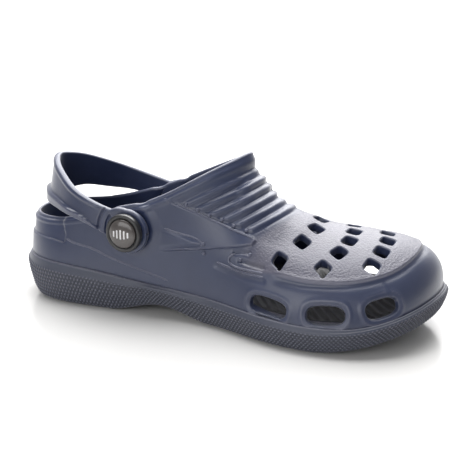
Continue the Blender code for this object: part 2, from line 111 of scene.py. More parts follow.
# Square vents in the vamp, one row after another across the foot: centre x, y, turn, width.
TOP_VENTS = [(53, -38.5, -22, 6.6), (62, -24, -24, 8.5), (65.5, -8.5, -22, 8.5), (63.5, 6.5, -12, 8.5),
             (57, 21, 10, 8.5), (48, 34, 22, 6.8), (80.5, -38, -28, 7.4), (86, -25, -28, 8.5),
             (88.5, -12.5, -12, 8.5), (87.5, 0, -6, 8.5), (83.5, 13, 10, 8.5), (76.5, 26, 24, 7.6),
             (107.5, -28, -12, 8.2), (109.5, -15, -8, 8.5), (109.5, -2, -4, 8.5), (106, 10.5, 4, 8.5),
             (100, 22.5, 12, 8.2)]
TOP_VENT_LENGTH = 8.5
TOP_VENT_ABOVE = 34             # the vamp's vents cut only what is higher than this
# Oval vents low in both side walls: centre x, height, length, width, tilt in degrees; they cut
# only what is this near to the sole's outline and lower than this.
SIDE_VENTS = [(49.5, 23.6, 26.5, 11.2, -5), (88, 24.2, 24, 12, 4), (120.8, 29, 21, 11.5, 12)]
SIDE_VENT_REACH = 15
SIDE_VENT_BELOW = 45


# --- curves
def spline(knots, values, closed=False):
    """Smooth cubic through the values at the knots; a closed one ends on its first value."""
    t = np.asarray(knots, float)
    p = np.asarray(values, float).reshape(len(t), -1)
    h = np.diff(t)
    slope = np.diff(p, axis=0) / h[:, None]
    a = np.eye(len(t))
    b = np.zeros_like(p)
    for i in range(1, len(t) - 1):
        a[i, i - 1:i + 2] = h[i - 1], 2 * (h[i - 1] + h[i]), h[i]
        b[i] = 6 * (slope[i] - slope[i - 1])
    if closed:
        a[0, 0], a[0, 1], a[0, -2] = 2 * (h[0] + h[-1]), h[0], h[-1]
        b[0] = 6 * (slope[0] - slope[-1])
        a[-1, 0] = -1
    m = np.linalg.solve(a, b)

    def at(x):
        x = np.asarray(x, float)
        if closed:
            x = t[0] + np.mod(x - t[0], t[-1] - t[0])
        k = np.clip(np.searchsorted(t, x, side="right") - 1, 0, len(t) - 2)
        u = ((t[k + 1] - x) / h[k])[..., None]
        w = ((x - t[k]) / h[k])[..., None]
        hh = h[k][..., None] ** 2 / 6
        value = u * p[k] + w * p[k + 1] + ((u ** 3 - u) * m[k] + (w ** 3 - w) * m[k + 1]) * hh
        return value[..., 0] if p.shape[1] == 1 else value
    return at


def profile(pairs):
    """Smooth height profile through (x, value) pairs, level beyond its ends."""
    x, value = zip(*pairs)
    curve = spline(x, value)
    return lambda at: curve(np.clip(at, x[0], x[-1]))


def chord_spline(points, closed=False):
    """Spline through points, with its knots spaced by chord length."""
    p = np.array(points + points[:1] if closed else points, float)
    knots = np.concatenate([[0], np.cumsum(np.linalg.norm(np.diff(p, axis=0), axis=1))])
    return spline(knots, p, closed), knots


def step_up(low, high, x):
    """Smooth step from 0 at low to 1 at high."""
    t = np.clip((x - low) / (high - low), 0, 1)
    return t * t * (3 - 2 * t)


def bell(x, width):
    return np.exp(-(x / width) ** 2)


def unit(v):
    return v / (np.linalg.norm(v, axis=-1, keepdims=True) + 1e-12)


def path_distance(u, w, path):
    """Distance from the points (u, w) to an open path."""
    p = np.stack([u, w], axis=-1)[:, None, :]
    a = np.array(path[:-1], float)
    b = np.array(path[1:], float)
    t = np.clip(((p - a) * (b - a)).sum(-1) / ((b - a) ** 2).sum(-1), 0, 1)
    return np.linalg.norm(p - (a + (b - a) * t[..., None]), axis=-1).min(axis=1)


def inside_distance(u, w, polygon):
    """Distance to a closed polygon's edge, positive inside it."""
    ring = polygon + polygon[:1]
    odd = np.zeros(len(u), bool)
    for (x1, y1), (x2, y2) in zip(ring[:-1], ring[1:]):
        if y1 != y2:
            odd ^= ((y1 > w) != (y2 > w)) & (u < (x2 - x1) * (w - y1) / (y2 - y1) + x1)
    return np.where(odd, 1, -1) * path_distance(u, w, ring)


outline, OUTLINE_KNOTS = chord_spline(OUTLINE, closed=True)
rim, RIM_KNOTS = chord_spline(RIM, closed=True)
column_start = profile(COLUMN_START)
section = spline([k[0] for k in SECTIONS] + [2 - k[0] for k in SECTIONS[-2::-1]],
                 [k[1:] for k in SECTIONS] + [k[1:] for k in SECTIONS[-2::-1]], closed=True)
rim_height = profile(RIM_HEIGHT)
ledge_height = profile(LEDGE_HEIGHT)
swell = profile(SWELL)


# --- shared surfaces
def sole_bottom(x):
    """Height of the underside: flat at heel and forefoot, lifted at heel back, waist and toe."""
    shares = [(x - start) / (end - start) for start, end, _ in (HEEL_LIFT, ARCH, TOE_SPRING)]
    heel = np.clip(shares[0], 0, 1.2) ** 2 * HEEL_LIFT[2]
    waist = np.sin(pi * np.clip(shares[1], 0, 1)) ** 2 * ARCH[2]
    toe = np.clip(shares[2], 0, 1.1) ** 1.6 * TOE_SPRING[2]
    return heel + waist + toe


def sole_point(q, inset=0.0):
    """Plan point on the sole outline; q runs 0..1 up the lateral side, 1..2 down the medial one."""
    marks = OUTLINE_KNOTS[[0, TOE_TIP, len(OUTLINE)]]
    t = np.interp(np.mod(q, 2), [0, 1, 2], marks)
    along = unit(outline(t + 0.5) - outline(t - 0.5))
    inward = np.stack([-along[..., 1], along[..., 0]], axis=-1)
    return outline(t) + inward * np.asarray(inset)[..., None]


def rim_point(q):
    """Point on the edge of the foot opening that column q starts from."""
    q = np.mod(q, 2)
    lateral = q < 1
    length = np.where(lateral, RIM_KNOTS[TONGUE_TIP], RIM_KNOTS[TONGUE_TIP] - RIM_KNOTS[-1])
    plan = rim(column_start(np.where(lateral, q, 2 - q)) * length)
    x, y = plan[..., 0], plan[..., 1]
    share = (1 - step_up(*DROP_SIDE, y)) * step_up(*DROP_REAR, x) * (1 - step_up(*DROP_FRONT, x))
    return np.concatenate([plan, (rim_height(x) - LATERAL_DROP * share)[..., None]], axis=-1)


def upper_point(q, v):
    """Outside of the upper; v runs from the ledge (0) up to the edge of the opening (1)."""
    plan = sole_point(q, SHELL_INSET)
    foot = np.concatenate([plan, ledge_height(plan[..., 0])[..., None]], axis=-1)
    top = rim_point(q)
    handles = section(np.mod(q, 2))
    t = 1 - v
    first = 3 * v ** 2 * t
    second = 3 * v * t ** 2
    out = first * handles[..., 0] + second * handles[..., 2] + t ** 3
    up = v ** 3 + first * handles[..., 1] + second * handles[..., 3]
    share = np.stack([1 - out, 1 - out, up], axis=-1)
    p = foot + (top - foot) * share
    low = 1 - step_up(*SWELL_TOP, p[..., 2])
    central = 1 - step_up(*SWELL_SIDES, np.abs(p[..., 1]))
    p[..., 2] += swell(p[..., 0]) * low * central
    return seated(p)


def seated(p):
    """Flatten the wall round the strap pivot into a seat square to the pivot axis."""
    r = np.hypot(p[..., 0] - PIVOT[0], p[..., 2] - PIVOT[1])
    w = 1 - step_up(*SEAT_RADII, r)
    p = p.copy()
    p[..., 1] += (np.sign(p[..., 1]) * SEAT_Y - p[..., 1]) * w
    return p


# --- making pieces
def make_piece(name, points, faces, material, body, nodes=(), marks=None, sharp=None):
    """Mesh piece from modelling-frame points in millimetres, riding on a CAD body."""
    mesh = bpy.data.meshes.new(name)
    placed = (np.asarray(points, float) + CENTRE) * MM
    mesh.from_pydata(placed.tolist(), [], [tuple(int(i) for i in face) for face in faces])
    for mark, values in (marks or {}).items():
        attribute = mesh.attributes.new(mark, "FLOAT", "POINT")
        attribute.data.foreach_set("value", np.asarray(values, np.float32))
    mesh.update()
    mesh.shade_smooth()
    if sharp:
        mesh.set_sharp_from_angle(angle=radians(sharp))
    mesh.materials.append(material)
    obj = bpy.data.objects.new(name, mesh)
    bpy.context.scene.collection.objects.link(obj)
    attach(obj, body)
    if nodes:
        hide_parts(*nodes)
    return obj


def ring_quads(start, rows, columns):
    """Quads of a closed band of rows, each a ring of columns, numbered row after row."""
    i, j = np.meshgrid(np.arange(rows - 1), np.arange(columns), indexing="ij")
    k = (j + 1) % columns
    low, high = i * columns, (i + 1) * columns
    return start + np.stack([low + j, low + k, high + k, high + j], axis=-1).reshape(-1, 4)


def join(one, two):
    """Quads between two rings of as many vertex numbers."""
    return [(one[i - 1], one[i], two[i], two[i - 1]) for i in range(len(one))]


def cut_sheet(table, field, quads):
    """Cut a sheet where field is below 0. Rows of table are blended; returns table, faces, loops."""
    inside = field >= 0
    count = inside[quads].sum(axis=1)
    faces = [tuple(f) for f in quads[count == 4]]
    added = []
    made = {}
    follows = {}

    def crossing(i, j):
        key = (min(i, j), max(i, j))
        if key not in made:
            t = np.clip(field[i] / (field[i] - field[j]), 0.03, 0.97)
            made[key] = len(table) + len(added)
            added.append(table[i] * (1 - t) + table[j] * t)
        return made[key]

    for a, b, c, d in quads[(count > 0) & (count < 4)]:
        for tri in ((a, b, c), (a, c, d)):
            kept = []
            leave = enter = None
            for i, j in zip(tri, tri[1:] + tri[:1]):
                if inside[i]:
                    kept.append(i)
                if inside[i] != inside[j]:
                    kept.append(crossing(i, j))
                    if inside[i]:
                        leave = kept[-1]
                    else:
                        enter = kept[-1]
            if len(kept) > 2:
                faces.append(tuple(kept))
            if leave is not None:
                follows[leave] = enter
    loops = []
    while follows:
        loop = [next(iter(follows))]
        while loop[-1] in follows:
            loop.append(follows.pop(loop[-1]))
        loops.append(loop[:-1])
    return np.concatenate([table, added]) if added else table, faces, loops


def zip_loops(points, a, b):
    """Triangles joining loop a to the opposite-handed loop b."""
    b = b[::-1]
    start = int(np.argmin(np.linalg.norm(points[b] - points[a[0]], axis=1)))
    b = b[start:] + b[:start]
    a = a + a[:1]
    b = b + b[:1]
    faces = []
    i = j = 0
    while i < len(a) - 1 or j < len(b) - 1:
        go_a = j == len(b) - 1
        if not go_a and i < len(a) - 1:
            go_a = (np.linalg.norm(points[a[i + 1]] - points[b[j]])
                    < np.linalg.norm(points[a[i]] - points[b[j + 1]]))
        if go_a:
            faces.append((a[i + 1], a[i], b[j]))
            i += 1
        else:
            faces.append((a[i], b[j], b[j + 1]))
            j += 1
    return faces


# --- vents
def superellipse(u, w, length, width, power):
    """Signed distance to a rounded outline (negative inside), and its gradient direction."""
    au = np.abs(u) / (length / 2) + 1e-9
    aw = np.abs(w) / (width / 2) + 1e-9
    g = (au ** power + aw ** power) ** (1 / power)
    gu = g ** (1 - power) * au ** (power - 1) / (length / 2) * np.sign(u)
    gw = g ** (1 - power) * aw ** (power - 1) / (width / 2) * np.sign(w)
    size = np.hypot(gu, gw) + 1e-9
    return (g - 1) / size, gu / size, gw / size


def wall_column(x, side):
    """Column q, on the lateral (-1) or medial (+1) side, whose foot lies at x."""
    q = np.linspace(0, 1, 401) if side < 0 else np.linspace(2, 1, 401)
    return float(np.interp(x, sole_point(q)[:, 0], q))


def vent_distances(p):
    """Distance of each point to the nearest top vent and side vent, and the way into it."""
    far = np.full(len(p), 99.0)
    top = far.copy()
    low = far.copy()
    into = np.zeros_like(p)
    for x, y, turn, width in TOP_VENTS:
        c, s = cos(radians(turn)), sin(radians(turn))
        u, w = p[:, 0] - x, p[:, 1] - y
        d, gu, gw = superellipse(u * c + w * s, w * c - u * s, TOP_VENT_LENGTH, width, 4.5)
        near = (d < top) & (p[:, 2] > TOP_VENT_ABOVE)
        top[near] = d[near]
        into[near] = -np.stack([gu * c - gw * s, gw * c + gu * s, 0 * gu], axis=-1)[near]
    for x, z, length, width, tilt in SIDE_VENTS:
        for side in (-1, 1):
            q = wall_column(x, side)
            here = sole_point(q)
            heading = unit(sole_point(q + 0.005 * -side) - here)
            across = (p[:, :2] - here) @ np.array([-heading[1], heading[0]])
            u = (p[:, :2] - here) @ heading
            w = p[:, 2] - z
            c, s = cos(radians(tilt)), sin(radians(tilt))
            d, gu, gw = superellipse(u * c + w * s, w * c - u * s, length, width, 2.7)
            near = (d < low) & (np.abs(across) < SIDE_VENT_REACH) & (p[:, 2] < SIDE_VENT_BELOW)
            along = gu * c - gw * s
            low[near] = d[near]
            way = np.stack([along * heading[0], along * heading[1], gw * c + gu * s], axis=-1)
            into[near] = -way[near]
    return top, low, into


# --- relief of the upper
RIB_SLOPE = 0.59                # ribs lie in planes that climb this much per unit towards the toe
RIB_TOP = 81.2                  # of height less slope times x, at the crown of the highest rib
RIB_SIDE_RISE = 2.2             # more than that behind the crown
RIB_PITCH = 7.05
RIB_COUNT = 6
# Paths on the side walls, as x and height: where the ribs stop, the raised wedge and dart, the
# hook with its sunk slots, the curve under it, the crease and the sunk panel round the heel.
RIB_ENDS = [(-22, 78.5), (-12.7, 75.6), (-5.2, 72.9), (2.6, 70.1), (10.7, 67.7), (18.7, 64.8),
            (27.3, 62.4), (38, 58)]
WEDGE = [(-34, 82), (-18.2, 76.2), (-5.5, 71.8), (2.8, 68.8), (10.6, 66.3), (20.2, 63.2), (26.8, 61.4),
         (32.9, 59.8), (35, 58), (33.2, 55.6), (23, 53.4), (11.1, 51.5), (3.1, 49.8), (-34, 44)]
DART = [(-34, 63.6), (-26.5, 60.2), (-12.8, 57.6), (-1.8, 54.8), (0.3, 53.2), (-0.6, 51.4), (-12, 49.3),
        (-34, 45.6)]
HOOK = [(44.3, 42.2), (36.1, 42.1), (27.6, 42.3), (21.5, 43.4), (19.2, 45.2), (19.1, 47), (20.6, 48.7),
        (23.5, 49.8)]
HOOK_SLOTS = [[(22.5, 50.6), (27, 51.6), (32, 51.7)], [(27, 46.3), (35, 45.4), (43.6, 45)]]
LOW_CURVE = [(10.8, 43.2), (19.4, 41.5), (30, 40.3), (36.5, 40.1), (45, 40)]
CREASE = [(-99.5, 46.4), (-97.4, 45.2), (-80.5, 41.8), (-66.5, 37.1), (-50.6, 32.7), (-33.6, 28.3),
          (-24, 25.9)]
HEEL_PANEL = [(-160, 42.5), (-145, 42.7), (-133.5, 43.2), (-111, 43.6), (-100.4, 42.4), (-99.5, 47.5),
              (-102.5, 55.5), (-104, 80), (-160, 80)]
TOE_CREASE = [(116.5, 42.5), (118.6, 39.4), (122.4, 35.8)]
# Edge of the raised plate on the vamp, seen from above, and the studs, as x and height.
PLATE = [(20, -43), (44, -44.5), (58, -45.4), (70, -46.2), (84, -45), (95, -42.4), (107.5, -36.4),
         (119, -26.3), (125.3, -14.2), (128, 0), (127, 14), (121, 28), (110, 38), (96, 44.5), (80, 47),
         (66, 46.5), (44, 43), (20, 42)]
STUDS = [(-12.7, 75.9), (-5.2, 73.2), (2.6, 70.4), (10.7, 68), (18.7, 65.1), (27.3, 62.9), (0.9, 53.2),
         (1.5, 47.1), (33.2, 50.6), (27.2, 46.6)]

rib_ends = profile(RIB_ENDS)
plate_curve, PLATE_KNOTS = chord_spline(PLATE)
PLATE_EDGE = [tuple(point) for point in plate_curve(np.linspace(0, PLATE_KNOTS[-1], 90))]
RIM_CORE = 33                   # nothing of the plate's rim shows lower than this


def relief(p, low_vent):
    """How far the moulding stands out of (+) or is sunk into (-) the smooth upper, in mm.

    Also returns the distances that the surface material needs for the crisp edges.
    """
    x, y, z = p.T
    mirrored = np.abs(y)
    wall = step_up(8, 16, mirrored)
    h = np.zeros(len(p))

    top = RIB_TOP + RIB_SIDE_RISE * (1 - step_up(-14, 25, x))
    phase = (top - (z - RIB_SLOPE * x)) / RIB_PITCH
    crown = np.sqrt(0.58 + 0.42 * np.cos(2 * pi * phase))
    ribbed = step_up(-0.6, -0.4, phase) * (1 - step_up(RIB_COUNT - 0.62, RIB_COUNT - 0.42, phase))
    above_ends = np.where(mirrored < 12, 1, step_up(0.2, 2.2, z - rib_ends(x)))
    towards_front = step_up(-26, 8, x)
    h += ribbed * above_ends * (2.6 * crown - 1.6) * (0.4 + 0.6 * towards_front) * step_up(-30, -14, x)

    wedge = inside_distance(x, z, WEDGE)
    h += wall * 1.2 * step_up(-0.5, 0.8, wedge) * step_up(-34, -12, x) * (x < 50)
    dart = inside_distance(x, z, DART)
    h += wall * 1.3 * step_up(-0.2, 3.0, dart) * step_up(-36, -6, x)
    for slot in HOOK_SLOTS:
        h -= wall * 1.3 * bell(path_distance(x, z, slot), 1.1)
    h -= wall * 0.7 * bell(path_distance(x, z + 2.2, LOW_CURVE), 1.6)
    h -= wall * 0.5 * bell(path_distance(x, z, TOE_CREASE), 0.8) * (y < 0)
    panel = inside_distance(x, z, HEEL_PANEL)
    h -= 1.3 * step_up(-0.8, 0.8, panel)

    plate = inside_distance(x, y, PLATE_EDGE)
    rim_part = step_up(48, 60, x) * (z > RIM_CORE)
    bead = 0.4 * bell(plate - 0.9, 0.9) - 0.6 * bell(plate + 1.7, 1.1)
    h += rim_part * (1.2 * step_up(-0.9, 0.6, plate) + bead)

    h += 0.55 * bell(low_vent - 2.6, 0.9) - 0.45 * (1 - step_up(0.6, 2.1, low_vent))
    grain = step_up(-0.6, 1.2, plate) * step_up(RIB_COUNT - 0.7, RIB_COUNT + 0.3, phase)
    grain *= step_up(24, 42, x) * step_up(30, 38, z)
    side_part = wall * step_up(-34, -12, x)
    return h, np.stack([grain, plate, wedge, dart, panel, rim_part, side_part], axis=1)


# Marks that relief() gives each point for the material, and those of a point without relief.
MARKS = ("grain", "plate_edge", "wedge_edge", "dart_edge", "panel_edge", "plate_fade", "side_fade")
NO_MARKS = (0.0, 9.0, 9.0, 9.0, -9.0, 0.0, 0.0)


# --- upper
UPPER_COLUMNS = 580
OUTER_ROWS = 132
INNER_ROWS = 36
LIP_STEPS = 8
LIP_RISE = 1.7
FOOT_SUNK = 1.0                 # how far the foot of the upper reaches down into the sole
VENT_ROUNDING = 0.9
ROUNDING_STEPS = 4


def row_stations(count):
    """v of each row: even along the front column, closer together over the ribs."""
    v = np.linspace(0, 1, 2001)
    front = upper_point(np.full(len(v), 1.0), v)
    gap = np.linalg.norm(np.diff(front, axis=0), axis=1)
    dense = 1 + 0.8 * ((front[1:, 2] > 66) & (front[1:, 2] < 101))
    far = np.concatenate([[0], np.cumsum(gap * dense)])
    return np.interp(np.linspace(0, far[-1], count), far, v)


def column_stations(count):
    """q of each column: even along the ledge, but closer together towards the toe."""
    q = np.linspace(0, 2, 4001)
    plan = sole_point(q)
    gap = np.linalg.norm(np.diff(plan, axis=0), axis=1)
    dense = 1 + 0.6 * step_up(-40, 20, plan[1:, 0])
    far = np.concatenate([[0], np.cumsum(gap * dense)])
    return np.interp(np.arange(count) / count * far[-1], far, q)


def skin(q, v):
    """Points and outward normals of the smooth upper on a grid, rows first."""
    qq, vv = np.meshgrid(q, v)
    p = upper_point(qq, vv)
    e = 1e-4
    dq = upper_point(qq + e, vv) - upper_point(qq - e, vv)
    up = np.minimum(vv + e, 1)
    dv = upper_point(qq, up) - upper_point(qq, up - 2 * e)
    return p, unit(np.cross(dq, dv)), unit(dv)


def turn_in(points, faces, loop, rows, radius, sense):
    """Round a cut edge into its hole; sense +1 goes down from the outside, -1 up from inside."""
    p, n, d = rows[:, 0:3], rows[:, 3:6], rows[:, 6:9]
    n = unit(n)
    d = unit(d - n * (d * n).sum(axis=1, keepdims=True))
    last = loop
    for k in range(1, ROUNDING_STEPS + 1):
        a = pi / 2 * k / ROUNDING_STEPS
        ring = p + d * radius * sin(a) - n * sense * radius * (1 - cos(a))
        here = list(range(len(points), len(points) + len(loop)))
        points.extend(ring)
        faces += join(here, last)
        last = here
    return last


def outer_sheet(q):
    """The upper's outside with its relief, cut open at the vents; also the rim's direction."""
    v = row_stations(OUTER_ROWS)
    p, n, up = skin(q, v)
    flat, normal = p.reshape(-1, 3), n.reshape(-1, 3)
    top, low, into = vent_distances(flat)
    h, marks = relief(flat, low)
    column_length = np.linalg.norm(np.diff(p, axis=0), axis=2).sum(axis=0)
    from_rim = ((1 - v)[:, None] * column_length).ravel()
    h += 0.5 * (1 - step_up(3.5, 6.0, from_rim)) - 1.3 * (1 - step_up(0.0, 3.0, from_rim)) ** 1.5
    table = np.column_stack([flat + normal * h[:, None], normal, into, marks])
    quads = ring_quads(0, len(v), len(q))
    return (*cut_sheet(table, np.minimum(top, low) - VENT_ROUNDING, quads), up[-1])


def inner_sheet(q):
    """The upper's smooth inside, cut open at the vents."""
    v = row_stations(INNER_ROWS)
    p, n, _ = skin(q, v)
    flat, normal = p.reshape(-1, 3), n.reshape(-1, 3)
    top, low, into = vent_distances(flat)
    inner = flat - normal * WALL
    inner[:, 2] = np.where(np.repeat(v, len(q)) == 0, flat[:, 2], inner[:, 2])
    table = np.column_stack([inner, normal, into, np.tile(NO_MARKS, (len(inner), 1))])
    quads = ring_quads(0, len(v), len(q))[:, ::-1]
    return cut_sheet(table, np.minimum(top, low) - VENT_ROUNDING, quads)


def make_upper(material):
    """The foam upper: outer skin with its relief, rolled lip, inner skin and walls of the vents."""
    q = column_stations(UPPER_COLUMNS)
    columns = len(q)
    table, faces, loops, up = outer_sheet(q)
    table_in, faces_in, loops_in = inner_sheet(q)
    offset = len(table)
    faces += [tuple(i + offset for i in f) for f in faces_in]
    loops_in = [[i + offset for i in loop] for loop in loops_in]
    table = np.concatenate([table, table_in])
    points = list(table[:, :3])

    ends = [turn_in(points, faces, loop, table[loop], VENT_ROUNDING, 1) for loop in loops]
    ends_in = [turn_in(points, faces, loop, table[loop], VENT_ROUNDING, -1) for loop in loops_in]
    placed = np.array(points)
    middles = np.array([placed[e].mean(axis=0) for e in ends_in])
    for end in ends:
        match = int(np.argmin(np.linalg.norm(middles - placed[end].mean(axis=0), axis=1)))
        faces += zip_loops(placed, end, ends_in[match])

    rim_out = (OUTER_ROWS - 1) * columns
    rim_in = offset + (INNER_ROWS - 1) * columns
    a = table[rim_out:rim_out + columns, :3]
    b = table[rim_in:rim_in + columns, :3]
    rings = [list(range(rim_out, rim_out + columns))]
    for k in range(1, LIP_STEPS):
        t = pi * k / LIP_STEPS
        rings.append(list(range(len(points), len(points) + columns)))
        points.extend((a + b) / 2 + (a - b) / 2 * cos(t) + up * (LIP_RISE * sin(t)))
    rings.append(list(range(rim_in, rim_in + columns)))
    for one, two in zip(rings, rings[1:]):
        faces += join(one, two)

    foot, foot_in = list(range(columns)), list(range(offset, offset + columns))
    sunk = list(range(len(points), len(points) + 2 * columns))
    points.extend(table[foot, :3] - (0, 0, FOOT_SUNK))
    points.extend(table[foot_in, :3] - (0, 0, FOOT_SUNK))
    rings = [foot, sunk[:columns], sunk[columns:], foot_in]
    for one, two in zip(rings, rings[1:]):
        faces += join(two, one)
    marked = np.tile(NO_MARKS, (len(points), 1))
    marked[:len(table)] = table[:, 9:]
    return make_piece("upper_moulding", points, faces, material, "clog", ["upper_shell"],
                      dict(zip(MARKS, marked.T)))


# --- raised lines and studs
def wall_samples(side):
    """Dense points and normals of the side wall with its relief on."""
    q = np.linspace(0.12, 0.97, 900)
    p, n, _ = skin(q if side < 0 else 2 - q, np.linspace(0.02, 1, 320))
    flat, normal = p.reshape(-1, 3), n.reshape(-1, 3)
    _, low, _ = vent_distances(flat)
    return flat + normal * relief(flat, low)[0][:, None], normal


def on_wall(samples, places):
    """Points and normals of the side wall at the given (x, height) places."""
    points, normals = samples
    best = [int(np.argmin((points[:, 0] - x) ** 2 + (points[:, 2] - z) ** 2)) for x, z in places]
    return points[best], normals[best]


def bead(path, points, normals, width, height, start, faces, out):
    """Half-round bead along a path of surface points, tapering at both ends."""
    count = BEAD_SEGMENTS
    along = unit(np.gradient(points, axis=0))
    across = unit(np.cross(normals, along))
    taper = np.clip(np.minimum(path, path[-1] - path) / (2.5 * width), 0.05, 1) ** 0.5
    for k in range(len(points)):
        for a in 2 * pi * np.arange(count) / count:
            out.append(points[k] + across[k] * width * taper[k] * cos(a)
                       + normals[k] * (height * taper[k] * sin(a) - 0.1))
    faces += [tuple(f) for f in ring_quads(start, len(points), count)]
    faces.append(tuple(range(start + count - 1, start - 1, -1)))
    end = start + (len(points) - 1) * count
    faces.append(tuple(range(end, end + count)))


# Raised lines on both side walls: path, half width, height.
LINES = [(HOOK, 0.75, 0.9), (LOW_CURVE, 0.7, 0.55), (CREASE, 0.8, 0.45), (DART[1:5], 0.7, 0.4),
         (DART[4:7], 0.6, 0.4), (WEDGE[1:8], 0.7, 0.55)]
LINE_STEP = 0.7
LINE_SMOOTHING = 10             # passes
BEAD_SEGMENTS = 12
STUD_RADIUS = 1.25
STUD_RISE = 0.2                 # of its middle above the wall
STUD_FLATNESS = 0.8


def make_lines(material, samples):
    """Raised lines moulded on the side walls."""
    points = []
    faces = []
    for side in (-1, 1):
        for path, width, height in LINES:
            curve, knots = chord_spline(path)
            far = np.linspace(0, knots[-1], int(knots[-1] / LINE_STEP) + 2)
            at, normal = on_wall(samples[side], curve(far))
            for _ in range(LINE_SMOOTHING):
                at[1:-1] = (at[:-2] + 2 * at[1:-1] + at[2:]) / 4
            turn = np.arange(len(at)) if side > 0 else np.arange(len(at))[::-1]
            bead(far, at[turn], normal[turn], width, height, len(points), faces, points)
    return make_piece("moulded_lines", points, faces, material, "clog")


def make_studs(material, samples):
    """Small round studs at the ends of the ribs and of the moulded lines."""
    data = bmesh.new()
    for side in (-1, 1):
        for at, normal in zip(*on_wall(samples[side], STUDS)):
            turn = Vector(normal).to_track_quat("Z", "Y").to_matrix().to_4x4()
            place = Matrix.Translation(Vector(at + normal * STUD_RISE)) @ turn
            bmesh.ops.create_icosphere(data, subdivisions=3, radius=STUD_RADIUS,
                                       matrix=place @ Matrix.Diagonal((1, 1, STUD_FLATNESS, 1)))
    data.verts.index_update()
    points = [tuple(vert.co) for vert in data.verts]
    faces = [[vert.index for vert in face.verts] for face in data.faces]
    data.free()
    return make_piece("moulded_studs", points, faces, material, "clog")


# --- outsole
SOLE_COLUMNS = 1300
SOLE_ACROSS = 38                # points from side to side of the tread
BAND_ROWS = 50
PEBBLE = (2.6, 2.2, 1.25)       # pitch along the band, pitch up the band, height
TREAD_PITCH = 8.5
TREAD_DEPTH = 1.4
TREAD_GROOVE = 1.3
ZIGZAG = (14.0, 5.0)            # half period across the foot, and reach along it
NOMINAL_BAND = 24               # height that the rows of the band are spaced for
# Side profile of the sole from the edge of the tread up to the ledge: inset, fraction of height.
BAND = [(7.5, 0.0), (4.6, 0.012), (2.6, 0.07), (1.0, 0.24), (-0.3, 0.46), (-0.95, 0.66), (-1.0, 0.8),
        (-0.55, 0.88)]
# On from there over the ledge and down to the floor of the tub: inset, rise above the ledge.
LEDGE = [(-0.35, -1.9), (-0.1, -0.9), (0.25, -0.35), (0.8, -0.2), (1.6, -0.35),
         (RECESS_INSET, -0.35), (RECESS_INSET, -RECESS_DEPTH)]


def even_columns(count):
    """q of evenly spaced columns round the sole, and the length round it."""
    q = np.linspace(0, 2, 4001)
    far = np.concatenate([[0], np.cumsum(np.linalg.norm(np.diff(sole_point(q), axis=0), axis=1))])
    return np.interp(np.arange(count) / count * far[-1], far, q), far[-1]


def ledge_rows(q, steps):
    """Rings of points at the given (inset, rise above the ledge) steps."""
    plans = [(sole_point(q, inset), rise) for inset, rise in steps]
    return [np.column_stack([plan, ledge_height(plan[:, 0]) + rise]) for plan, rise in plans]


def cap_points(ring, across):
    """Rows of points from side to side of a ring, and each one's distance from its edge."""
    half = len(ring) // 2
    left, right = ring[1:half], ring[:half:-1]
    share = np.linspace(0, 1, across)[None, :, None]
    cap = left[:, None, :] * (1 - share) + right[:, None, :] * share
    width = np.linalg.norm(left - right, axis=1)[:, None]
    return cap, np.minimum(share[..., 0], 1 - share[..., 0]) * width


def cap_faces(ring, size, start, width, down=False):
    """Faces of a cap: its inner points, numbered from start, and the ring round them."""
    half = size // 2
    last = ring + size - 1
    i, j = np.meshgrid(np.arange(half - 2), np.arange(width - 1), indexing="ij")
    a = start + i * width + j
    faces = [tuple(f) for f in np.stack([a, a + 1, a + width + 1, a + width], axis=-1).reshape(-1, 4)]
    for i in range(half - 2):
        here, there = start + i * width, start + (i + 1) * width
        faces.append((there, here, ring + i + 1, ring + i + 2))
        faces.append((last - i - 1, last - i, there - 1, there + width - 1))
    faces.append((*range(start, start + width), last, ring, ring + 1))
    end = start + (half - 2) * width
    faces.append((*range(end + width - 1, end - 1, -1), ring + half - 1, ring + half, ring + half + 1))
    return [f[::-1] for f in faces] if down else faces


def flat_faces(ring, size, down=False):
    """Faces of a plain cap: strips from side to side of a ring."""
    faces = []
    for i in range(size // 2):
        corners = [ring + k % size for k in (i, i + 1, size - i - 1, size - i)]
        faces.append(tuple(dict.fromkeys(corners)))
    return [f[::-1] for f in faces] if down else faces


def band_rows(q, round_length):
    """Rings of the pebbled band from the tread up, and how deep in a valley each point is."""
    curve, knots = chord_spline([(inset, fraction * NOMINAL_BAND) for inset, fraction in BAND])
    far = np.linspace(0, knots[-1], BAND_ROWS)
    pitch = round_length / round(round_length / PEBBLE[0])
    around = np.arange(len(q)) / len(q) * round_length
    rows = []
    valleys = []
    for (inset, level), height in zip(curve(far), far):
        line = height / PEBBLE[1]
        bump = np.sin(pi * (around / pitch + 0.5 * np.floor(line))) ** 2 * abs(sin(pi * (line % 1))) ** 1.2
        textured = step_up(2.5, 4.5, height) * (1 - step_up(knots[-1] - 3.0, knots[-1] - 1.6, height))
        plan = sole_point(q, inset - PEBBLE[2] * bump * textured)
        low = sole_bottom(plan[:, 0])
        z = low + (ledge_height(plan[:, 0]) - low) * level / NOMINAL_BAND
        rows.append(np.column_stack([plan, z]))
        valleys.append((1 - bump) * textured)
    return rows, valleys


